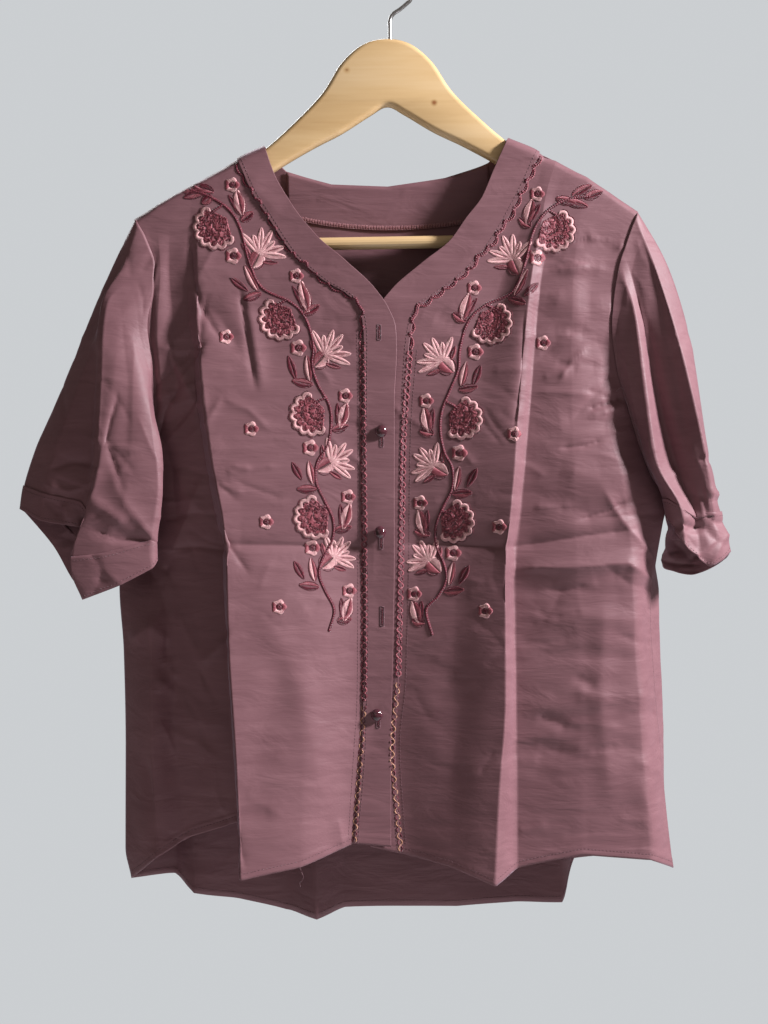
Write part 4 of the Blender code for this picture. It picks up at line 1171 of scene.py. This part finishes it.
# The embroidery's places in the frame. Each side has its own, as the two sides aren't quite alike.
SIDES = (
    {
        "mirror": 1,
        "flowers": ((216, 227, 44, 40), (281, 318, 43, 45), (312, 414, 43, 22), (316, 517, 43, 20)),
        "fans": ((256, 260, 34, 62), (320, 360, 34, 48), (325, 466, 32, 30), (328, 562, 30, 42)),
        "buds": (((232, 185), (238, 203)), ((296, 276), (304, 300)), ((345, 396), (342, 415)),
            ((348, 497), (345, 516)), ((349, 591), (346, 608))),
        "balls": ((233, 256), (298, 348), (310, 448), (312, 548)),
        "small": (((241, 221), (252, 213)), ((304, 314), (318, 306)), ((332, 430), (347, 426)),
            ((335, 530), (350, 527)), ((337, 621), (350, 619))),
        "dark": (((248, 291), (232, 279)), ((296, 380), (289, 358)), ((302, 480), (293, 464)),
            ((304, 579), (295, 563))),
        "slender": (((258, 291), (246, 268)), ((310, 381), (307, 358)), ((313, 484), (309, 463)),
            ((315, 581), (311, 560))),
        "level": (((261, 293), (245, 299)), ((313, 385), (294, 381)), ((317, 489), (299, 489)),
            ((319, 587), (301, 585))),
        "shoulder": (((214, 192), (196, 186)), ((206, 190), (186, 197)), ((196, 190), (180, 188)),
            ((212, 196), (203, 203))),
        "stems": (((190, 190), (208, 196), (228, 209), (240, 228), (249, 262), (262, 288), (290, 302),
            (305, 318), (313, 344), (312, 366), (318, 385), (329, 405), (331, 425), (327, 446),
            (317, 463), (316, 482), (324, 500), (333, 520), (332, 540), (322, 560), (319, 575),
            (325, 591), (334, 610), (329, 631)),
            ((222, 205), (212, 212), (208, 218)), ((286, 300), (276, 306), (273, 310)),
            ((325, 398), (316, 402), (312, 406)), ((328, 506), (320, 508), (316, 512))),
        "rosettes": ((226, 337), (251, 429), (266, 522), (279, 607)),
        "neck": ((236, 162), (241, 175), (251, 190), (260, 203), (269, 219), (278, 234), (290, 251), (305, 263),
            (320, 279), (337, 290), (354, 299), (361, 306), (362, 315), (362, 340)),
        "placket": ((362, 340), (363, 422), (364, 520), (364, 607), (364, 702)),
        "foot": ((364, 705), (361, 749), (357, 800), (354, 843)),
        "seam": ((357, 330), (358, 422), (358, 607), (357, 702), (354, 749), (348, 843)),
    },
    {
        "mirror": -1,
        "flowers": ((553, 230, 43, 40), (490, 322, 43, 45), (461, 418, 42, 22), (453, 521, 42, 20)),
        "fans": ((516, 266, 33, 66), (447, 366, 33, 44), (440, 470, 31, 30), (434, 566, 30, 44)),
        "buds": (((537, 194), (531, 212)), ((474, 288), (467, 308)), ((426, 401), (428, 419)),
            ((420, 503), (423, 522)), ((414, 594), (417, 610))),
        "balls": ((537, 258), (475, 352), (459, 453), (453, 553)),
        "small": (((531, 227), (520, 219)), ((466, 322), (454, 314)), ((434, 434), (421, 431)),
            ((430, 535), (416, 531)), ((425, 623), (413, 621))),
        "dark": (((524, 296), (537, 284)), ((473, 386), (480, 367)), ((467, 487), (476, 470)),
            ((459, 584), (468, 567))),
        "slender": (((514, 296), (526, 272)), ((461, 386), (466, 364)), ((455, 490), (459, 469)),
            ((449, 585), (453, 564))),
        "level": (((508, 298), (524, 303)), ((459, 390), (476, 387)), ((452, 494), (470, 493)),
            ((444, 592), (462, 590))),
        "shoulder": (((556, 198), (574, 203)), ((565, 200), (586, 206)), ((572, 196), (590, 186)),
            ((584, 198), (601, 192))),
        "stems": (((590, 196), (566, 200), (546, 212), (533, 232), (524, 266), (512, 292), (484, 306),
            (468, 322), (460, 348), (458, 370), (450, 390), (442, 410), (440, 430), (444, 452),
            (452, 468), (452, 488), (444, 505), (436, 525), (436, 545), (444, 565), (446, 580),
            (438, 596), (426, 610), (432, 635)),
            ((548, 210), (556, 215), (560, 221)), ((486, 305), (496, 310), (499, 314)),
            ((446, 402), (454, 406), (458, 410)), ((440, 512), (448, 512), (452, 516))),
        "rosettes": ((543, 343), (514, 434), (499, 527), (485, 611)),
        "neck": ((541, 153), (527, 181), (519, 197), (511, 215), (500, 228), (492, 244), (480, 254), (469, 269),
            (455, 281), (439, 293), (425, 303), (415, 309), (411, 330), (410, 350)),
        "placket": ((410, 350), (409, 364), (404, 426), (403, 458), (401, 560), (398, 678)),
        "foot": ((398, 682), (392, 749), (396, 800), (401, 853)),
        "seam": ((417, 350), (411, 430), (409, 560), (406, 678), (400, 749), (406, 845)),
    },
)
LONGEST_DROP = 6.0
CORE_STITCHES = 9
FAN_SPREAD = 138
FAN_PETALS = 7
STIPPLES = 260
RIM_LOBES = 8
RIM_STITCHES = 88
RIM_SPREAD = 218
WAVE_PITCH = 12.6
SCALLOP_PITCH = 15.5


def waved(line, pitch, height, phase=0.0, scalloped=False):
    """A wave or a row of scallops along a line."""
    spots = walk(line, pitch / 10)
    made = []
    for k in range(1, len(spots) - 1):
        along = spots[k + 1] - spots[k - 1]
        along /= np.linalg.norm(along)
        turn = 2 * math.pi * (k / 10) + phase
        swing = abs(math.sin(turn / 2)) * 2 - 1 if scalloped else math.sin(turn)
        made.append(spots[k] + square(along) * swing * height)
    return made


def make_embroidery(surface, threads):
    """All the coloured thread on the front."""
    work = Embroidery(surface)
    gold = Thread(surface)
    seams = Thread(surface)
    for side in SIDES:
        mirror = side["mirror"]
        for line in side["stems"]:
            work.dark.path(line, 3.2, 2.4, 0.7, 0.8)
        for x, y, size, start in side["flowers"]:
            work.scalloped((x, y), size, mirror, start)
        for x, y, reach, start in side["fans"]:
            work.fan((x, y), reach, mirror, start)
        for ball, almond in side["buds"]:
            work.bud(ball, almond, mirror)
        for centre in side["balls"]:
            work.ball(np.array(centre, float), 8.8, work.pale, work.rose, work.dark)
        for kind, width, left, right, rim in (("small", 9, work.rose, work.dark, work.dark),
                                              ("dark", 8.5, work.dark, work.dark, None),
                                              ("slender", 7.5, work.pale, work.rose, work.dark),
                                              ("level", 8.5, work.dark, work.rose, work.dark),
                                              ("shoulder", 9, work.rose, work.dark, work.dark)):
            for base, tip in side[kind]:
                work.leaf(spot(*base), spot(*base) + (spot(*tip) - spot(*base)) * 1.12, width, left, right, rim)
        for centre in side["rosettes"]:
            work.rosette(centre)
        scallops = waved(side["neck"], SCALLOP_PITCH, 1.7 * mirror, scalloped=True)
        work.dark.path(scallops, 3.4, 2.2, 0.6, 0.8)
        if mirror < 0:
            work.rose.path([place + (1.6, 1.2) for place in scallops], 1.5, 2.0, 0.6, 1.0)
        work.rose.path(waved(side["placket"], WAVE_PITCH, 2.7), 1.7, 1.8, 0.7, 0.6)
        work.dark.path(waved(side["placket"], WAVE_PITCH, 2.7, math.pi), 1.9, 1.8, 0.7, 0.6)
        gold.path(waved(side["foot"], WAVE_PITCH, 2.3), 1.2, 1.8, 0.6)
        work.dark.path(waved(side["foot"], WAVE_PITCH, 2.3, math.pi), 1.1, 1.8, 0.6)
        seams.dashes(side["seam"], 2.4, 1.0, 0.4)
    work.dark.piece("embroidery-dark", threads["dark"])
    work.rose.piece("embroidery-rose", threads["rose"])
    work.pale.piece("embroidery-pale", threads["pale"])
    gold.piece("embroidery-foot", threads["gold"])
    seams.piece("placket-stitches", threads["seam"])


# Small uneven creases scattered in parts of the frame:
# seed, count, box, height in mm (times CREASE_GAIN), width, turn, tilt
CRUMPLES = {
    "front_right": (
        (3, 26, (165, 240, 360, 540), 0.8, 5.0, 0, 24), (4, 22, (150, 545, 235, 850), 0.9, 6.0, 70, 26),
        (5, 16, (235, 560, 356, 860), 0.45, 8.0, 0, 30), (6, 14, (165, 320, 205, 430), 1.2, 5.0, -50, 30)),
    "front_left": (
        (7, 26, (530, 220, 640, 520), 0.9, 5.5, -8, 22), (8, 20, (405, 300, 520, 540), 0.6, 6.0, 0, 30),
        (9, 34, (515, 575, 665, 860), 0.75, 7.0, -4, 24), (10, 12, (400, 560, 505, 870), 0.45, 8.0, 0, 30)),
    "back": ((11, 40, (150, 200, 640, 900), 0.8, 8.0, 0, 28),),
    "sleeve_right": (
        (12, 14, (40, 250, 165, 520), 0.5, 5.0, 70, 30), (13, 12, (30, 440, 160, 560), 0.8, 4.5, 20, 40)),
    "sleeve_left": (
        (14, 14, (610, 230, 710, 520), 0.45, 5.0, 76, 24), (15, 14, (665, 470, 725, 570), 1.2, 4.5, 30, 50)),
    "cuff_right": ((16, 10, (30, 490, 160, 600), 1.0, 5.0, 30, 50),),
    "cuff_left": ((17, 16, (660, 500, 730, 575), 1.5, 4.5, 20, 60),),
}

# Main creases, in the photograph's frame: height in mm (times CREASE_GAIN), width, crispness, line
RIGHT_FRONT_CREASES = (
    (-1.3, 4.5, 1.0, ((240, 290), (247, 338), (255, 388))),
    (1.0, 8, 0.6, ((247, 292), (254, 338), (262, 388))),
    (-1.7, 4.5, 1.0, ((190, 240), (193, 280), (200, 305), (219, 336))),
    (-1.7, 6, 0.9, ((157, 440), (165, 412), (182, 384))),
    (-1.5, 5, 0.9, ((184, 372), (195, 356), (204, 342))),
    (-1.2, 4, 1.0, ((153, 282), (150, 340), (157, 408))),
    (1.3, 7, 0.9, ((204, 476), (188, 516), (170, 558))),
    (-1.2, 5, 0.9, ((172, 548), (200, 547), (228, 552))),
    (1.1, 6, 0.9, ((176, 610), (196, 650), (206, 700))),
    (1.5, 7, 0.7, ((201, 663), (214, 652), (229, 638))),
    (-1.3, 6, 0.6, ((145, 757), (152, 804), (158, 850))),
    (-2.4, 34, 1.0, ((214, 544), (292, 545), (374, 547))),
    (-0.9, 5, 0.9, ((222, 545), (292, 546), (366, 548))),
    (1.6, 9, 0.5, ((165, 345), (184, 377), (200, 409))),
    (-1.4, 8, 0.6, ((172, 360), (186, 352), (200, 344))),
    (1.2, 9, 0.5, ((168, 409), (184, 396), (199, 380))),
    (-1.2, 10, 0.4, ((205, 300), (222, 322), (240, 350))),
    (1.0, 16, 0.1, ((262, 600), (300, 690), (322, 800))),
    (-1.0, 20, 0.1, ((290, 640), (262, 740), (252, 840))),
    (1.4, 9, 0.5, ((130, 640), (150, 628), (172, 640))),
    (-1.2, 9, 0.5, ((140, 560), (160, 585), (168, 620))),
    (1.1, 9, 0.4, ((176, 470), (190, 500), (214, 520))),
    (-1.3, 7, 0.5, ((160, 430), (172, 470), (176, 520))),
    (0.9, 12, 0.2, ((178, 700), (200, 720), (230, 724))),
    (0.9, 8, 0.5, ((337, 818), (340, 834), (342, 847))),
    (0.7, 14, 0.2, ((245, 180), (262, 196), (280, 214))),
)
LEFT_FRONT_CREASES = (
    (-2.2, 34, 1.0, ((398, 543), (455, 544), (514, 547))),
    (-0.9, 5, 0.9, ((402, 544), (455, 545), (509, 548))),
    (-2.0, 9, 0.8, ((511, 547), (560, 540), (636, 529))),
    (2.4, 10, 0.7, ((509, 568), (570, 567), (627, 563), (654, 582))),
    (-1.2, 14, 0.3, ((512, 590), (570, 590), (640, 596))),
    (-1.6, 4, 1.0, ((587, 409), (606, 404), (626, 396))),
    (1.1, 6, 0.8, ((588, 417), (606, 412), (628, 404))),
    (-1.4, 5, 1.0, ((548, 334), (566, 330), (590, 334))),
    (-1.3, 5, 1.0, ((560, 448), (584, 446), (604, 440))),
    (-1.5, 5, 1.0, ((580, 520), (606, 512), (632, 500))),
    (1.3, 8, 0.9, ((604, 490), (622, 520), (654, 560))),
    (-1.2, 5, 0.9, ((524, 316), (522, 372), (514, 430))),
    (-1.0, 12, 0.3, ((560, 420), (590, 416), (616, 420))),
    (0.9, 9, 0.3, ((530, 620), (580, 615), (640, 622))),
    (-0.9, 10, 0.3, ((524, 660), (574, 652), (642, 660))),
    (0.9, 11, 0.2, ((522, 708), (580, 700), (648, 700))),
    (-0.8, 11, 0.2, ((520, 760), (580, 748), (652, 752))),
    (0.9, 10, 0.3, ((546, 300), (580, 310), (612, 304))),
    (-0.9, 10, 0.3, ((540, 356), (575, 350), (610, 340))),
    (1.2, 14, 0.2, ((560, 470), (600, 480), (640, 470))),
    (-1.1, 12, 0.3, ((548, 505), (590, 512), (636, 500))),
    (1.0, 12, 0.2, ((604, 600), (600, 700), (610, 800))),
    (0.8, 14, 0.2, ((566, 240), (584, 252), (600, 236))),
    (-0.9, 18, 0.1, ((452, 640), (458, 720), (446, 820))),
    (1.0, 10, 0.4, ((640, 780), (650, 820), (652, 850))),
)
BACK_CREASES = (
    (-1.6, 9, 0.6, ((195, 700), (196, 800), (195, 888))),
    (1.4, 9, 0.6, ((311, 700), (313, 830), (316, 912))),
    (1.2, 12, 0.6, ((150, 545), (300, 545), (450, 546), (620, 545))),
    (-1.2, 16, 0.2, ((260, 300), (270, 420), (262, 520))),
    (1.2, 16, 0.2, ((420, 330), (428, 470), (420, 620))),
    (-1.0, 18, 0.2, ((540, 300), (530, 450), (540, 640))),
    (1.0, 14, 0.2, ((350, 600), (366, 720), (360, 850))),
)
SLEEVE_CREASES = (
    (-1.2, 8, 0.5, ((57, 457), (75, 462), (93, 462))),
    (1.0, 7, 0.5, ((52, 474), (72, 480), (93, 486))),
    (-1.0, 5, 0.6, ((45, 498), (52, 508), (60, 517))),
    (1.0, 4, 0.6, ((62, 504), (66, 512), (68, 520))),
    (-1.0, 4, 0.6, ((78, 506), (80, 514), (80, 522))),
    (2.0, 7, 0.9, ((91, 500), (110, 513), (126, 524))),
    (-1.8, 5, 1.0, ((90, 528), (118, 540), (152, 540))),
    (1.6, 9, 0.9, ((112, 470), (126, 505), (152, 536))),
    (-1.4, 5, 1.0, ((106, 440), (116, 470), (124, 500))),
    (-1.4, 5, 1.0, ((118, 395), (110, 420), (104, 446))),
    (-1.6, 5, 1.0, ((48, 470), (72, 462), (96, 466))),
    (1.4, 6, 0.9, ((46, 484), (70, 492), (92, 484))),
    (-1.2, 4, 1.0, ((52, 500), (58, 508), (62, 520))),
    (1.2, 8, 0.6, ((104, 291), (100, 370), (97, 444), (91, 515))),
    (-1.0, 12, 0.3, ((120, 300), (128, 380), (126, 460))),
    (-1.2, 6, 0.6, ((110, 530), (130, 537), (150, 542))),
    (-1.2, 9, 0.5, ((643, 240), (660, 300), (676, 380), (690, 450))),
    (1.3, 8, 0.6, ((640, 300), (645, 390), (652, 455), (658, 480))),
    (-1.3, 8, 0.6, ((648, 320), (662, 420), (675, 475))),
    (1.2, 7, 0.6, ((690, 440), (704, 478), (710, 512))),
    (-1.3, 6, 0.6, ((676, 520), (694, 528), (712, 524))),
    (1.5, 6, 0.7, ((672, 540), (686, 552), (700, 573))),
    (-1.2, 6, 0.6, ((704, 528), (716, 540), (728, 548))),
)

# The body's panels: which way their creases rise, the height of their waves in mm, its seed, their creases and
# which way the hem is thick
RUMPLES = {
    "front_right": (-1, 1.1, 3.0, RIGHT_FRONT_CREASES, -1),
    "front_left": (1, 1.1, 7.0, LEFT_FRONT_CREASES, 1),
    "back": (1, 1.2, 11.0, BACK_CREASES, -1),
}


def make_cloth(cloth):
    """Every panel of the top; returns the fine grids by name."""
    grids = {
        "front_right": body_panel(FRONT_RIGHT, front=True),
        "front_left": body_panel(FRONT_LEFT, front=True),
        "back": body_panel(BACK, False, BACK_COLUMN_STEP, BACK_ROWS_IN_A_GAP),
    }
    plain = {name: grid.copy() for name, grid in grids.items()}
    seams = {name: [grid.shape[1] - 1] for name, grid in grids.items()}
    seams["back"].append(0)
    for name, (way, amount, seed, creases, hem_way) in RUMPLES.items():
        grid = creased(rumpled(grids[name], way, amount, seed, name != "back"), creases, way)
        grid = held_at_seams(crumpled(grid, CRUMPLES[name], way), plain[name], seams[name])
        grids[name] = hemmed(grid, hem_way)
    pieces = {}
    for name, grid in grids.items():
        pieces[name] = cloth_piece(name.replace("_", "-") + "-panel", grid, False, cloth, name)
    outside = {
        "front_right": moved_out(grids["front_right"], -ON_TOP),
        "front_left": moved_out(grids["front_left"], ON_TOP),
        "back": moved_out(grids["back"], -ON_TOP),
    }
    for side in ("right", "left"):
        folds = FRONT_RIGHT if side == "right" else FRONT_LEFT
        tracks = [np.array(points, float)[:, 0] for _, points in folds[:2]]
        wide = max(abs(tracks[0].min() - tracks[1].max()), abs(tracks[0].max() - tracks[1].min()))
        columns = max(4, int(wide / COLUMN_STEP)) + 1
        band = "band_" + side
        grids[band] = outside["front_" + side][:, :columns]
        pieces[band] = cloth_piece("band-" + side, grids[band], False, cloth, band)
    grids["facing"] = facing_grid()
    pieces["facing"] = cloth_piece("back-neck-facing", grids["facing"], False, cloth, "back_neck_facing")
    back_edges = {"right": outside["back"][:, 1], "left": outside["back"][:, -2]}
    for side, folds in (("right", SLEEVE_RIGHT), ("left", SLEEVE_LEFT)):
        sleeve, starts = sleeve_grid(folds, 0, CUFF_SEAM_STATION, SLEEVE_ROWS)
        sleeve = lapped_over_armhole(sleeve, starts, outside["front_" + side][:, -2], back_edges[side])
        outwards = 1 if side == "left" else -1
        sleeve = crumpled(creased(sleeve, SLEEVE_CREASES, outwards), CRUMPLES["sleeve_" + side], outwards)
        grids["sleeve_" + side] = sleeve
        pieces["sleeve_" + side] = cloth_piece("sleeve-" + side, sleeve, True, cloth, "sleeve_" + side)
        cuff, _ = sleeve_grid(folds, CUFF_SEAM_STATION - CUFF_LAP, len(folds[0][1]) - 1, CUFF_ROWS)
        cuff = moved_out(cuff, np.full(cuff.shape[:2], CUFF_OUT * outwards), True)
        cuff = crumpled(creased(cuff, SLEEVE_CREASES, outwards), CRUMPLES["cuff_" + side], outwards)
        grids["cuff_" + side] = cuff
        pieces["cuff_" + side] = cloth_piece("cuff-" + side, cuff, True, cloth, "cuff_" + side)
    return grids, pieces


# Plain sewing, in mm: the length, gap and width of a stitch, and the overlock's pitch
SEWN_STITCH = 2.3
SEWN_GAP = 1.0
SEWN_WIDTH = 0.45
OVERLOCK_PITCH = 1.25


def make_stitches(grids, material):
    """Hem, cuff, facing and seam stitches, laid along the cloth."""
    thread = Thread(None)

    def row(points, ways):
        reach = reach_of(points)
        for start in np.arange(0, reach[-1] - SEWN_STITCH, SEWN_STITCH + SEWN_GAP):
            first, last = place_on(points, reach, start), place_on(points, reach, start + SEWN_STITCH)
            thread.strand(first, last, place_on(ways, reach, start), SEWN_WIDTH, 0.25)

    face = CLOTH / 2 + 0.02
    for name, way in (("front_right", -1), ("front_left", 1), ("back", -1), ("back", 1)):
        row(*line_at(grids[name], HEM_STITCH, way * face))
    for side, way in (("right", -1), ("left", 1)):
        cuff = grids["cuff_" + side]
        row(*line_at(cuff, 4.0, way * face, True))
        row(*line_at(cuff[::-1], 3.0, -way * face, True))
        edge = grids["band_" + side]
        across = edge.transpose(1, 0, 2)
        row(*line_at(across[::-1], 3.5, way * face))
    for ends in LOOSE_THREADS:
        for first, last in zip(ends, ends[1:]):
            thread.strand(Vector(first), Vector(last), Vector((0, -1, 0)), 0.5, 0.4)
    facing = grids["facing"]
    row(*line_at(facing[::-1], 2.0, face))
    row(*line_at(facing, 6.5, -face))
    thread.piece("hem-stitches", material)


def make_overlock(grids, material):
    """The looped thread along the facing's lower edge."""
    thread = Thread(None)
    points, ways = line_at(grids["facing"], 0.4, CLOTH / 2)
    inner, _ = line_at(grids["facing"], 4.6, CLOTH / 2)
    reach = reach_of(points)
    for k, start in enumerate(np.arange(0, reach[-1] - 1.6, OVERLOCK_PITCH)):
        low = place_on(points, reach, start + 0.6 * (k % 2))
        way = place_on(ways, reach, start)
        thread.strand(low, place_on(inner, reach, start + 0.9), way, 0.8, 0.4)
        thread.strand(low, place_on(points, reach, start + 1.3), way, 0.7, 0.35)
    thread.piece("facing-overlock", material)


def make_buttonholes(surface, material, slit_shade_material):
    """Stitched holes down the placket, each between two rows of short stitches, with a strand of dark thread
    down its slit as painted shade.
    """
    edges, slit_shade = Thread(surface), Thread(surface)
    for x, top, foot in BUTTONHOLES:
        # Painted shade: a dark thread strand down each slit stands for the shade inside the cut
        slit_shade.path([(x, top + 1.5), (x, foot - 1.5)], 1.1, 2.2, 0.5)
        for y in np.arange(top, foot, 0.85):
            edges.stitch((x - 0.7, y), (x - 2.6, y), 0.8, 0.4)
            edges.stitch((x + 0.7, y), (x + 2.6, y), 0.8, 0.4)
        for y in (top - 0.4, foot + 0.2):
            edges.stitch((x - 2.4, y), (x + 2.4, y), 1.0, 0.45)
    edges.piece("buttonhole-stitches", material)
    slit_shade.piece("buttonhole-slit-shade", slit_shade_material)


def button_piece(name, material):
    """A turned dome with a low rim, in place of the plain one."""
    low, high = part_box(name)
    centre = (low + high) / 2 / MM
    back = high.y / MM
    vertices, faces = [], []
    for radius, rise in BUTTON_PROFILE:
        for k in range(BUTTON_SEGMENTS):
            turn = 2 * math.pi * k / BUTTON_SEGMENTS
            vertices.append((centre.x + radius * math.cos(turn), back - rise,
                             centre.z + radius * 1.08 * math.sin(turn)))
    rings = len(BUTTON_PROFILE)
    for ring in range(rings - 1):
        for k in range(BUTTON_SEGMENTS):
            following = (k + 1) % BUTTON_SEGMENTS
            a, b = ring * BUTTON_SEGMENTS, (ring + 1) * BUTTON_SEGMENTS
            faces.append((a + k, a + following, b + following, b + k))
    for ring, turned in ((0, True), (rings - 1, False)):
        start = ring * BUTTON_SEGMENTS
        order = range(BUTTON_SEGMENTS)
        faces.append([start + k for k in (reversed(order) if turned else order)])
    piece = mesh_object(name.replace("_", "-") + "-dome", vertices, faces, material)
    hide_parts(name)


# Thread ends left hanging below the right front's hem and at the left bust, in mm
LOOSE_THREADS = (
    ((-81, -47, -812), (-79.5, -48, -816), (-77.5, -48.5, -820), (-78.5, -48.5, -824), (-81, -48, -826),
     (-80, -48, -830)),
    ((203, -20, -390), (207, -22, -386), (210, -22, -388)),
)
BUTTONHOLES = ((379, 325, 340), (381.5, 432, 447), (381, 534, 549), (382, 607, 626), (378, 712, 728))
BUTTON_SEGMENTS = 40
BUTTON_PROFILE = ((2.2, 0.0), (4.6, 0.1), (5.15, 0.5), (5.3, 1.0), (5.15, 1.5), (4.75, 1.9),
                  (4.5, 2.15), (3.9, 2.9), (2.9, 3.5), (1.7, 3.9), (0.6, 4.1))


def main():
    make_camera()
    make_studio()
    cloth = cloth_material()
    grids, pieces = make_cloth(cloth)
    make_hanger(wood_material(), steel_material())
    threads = {
        "dark": thread_material("maroon thread", tone(84, 22, 38), tone(112, 38, 54)),
        "rose": thread_material("rose thread", tone(134, 62, 74), tone(160, 86, 96)),
        "pale": thread_material("pale pink thread", tone(204, 150, 154), tone(226, 180, 180)),
        "gold": thread_material("worn rose-gold thread", tone(168, 118, 92), tone(196, 148, 120)),
        "seam": thread_material("plum sewing thread", tone(96, 62, 70), tone(118, 80, 88), 0.5),
        "serge": thread_material("pink overlock thread", tone(150, 96, 102), tone(176, 122, 126), 0.55),
    }
    surface = Surface([moved_out(grids["front_right"], -CLOTH / 2), moved_out(grids["front_left"], CLOTH / 2),
                       moved_out(grids["band_right"], -CLOTH / 2), moved_out(grids["band_left"], CLOTH / 2)])
    make_embroidery(surface, threads)
    make_stitches(grids, threads["seam"])
    make_overlock(grids, threads["serge"])
    # The maroon thread also serves as the painted shade down the buttonhole slits
    make_buttonholes(surface, threads["seam"], threads["dark"])
    dome = button_material()
    for name in ("button_1", "button_2", "button_3"):
        button_piece(name, dome)


main()
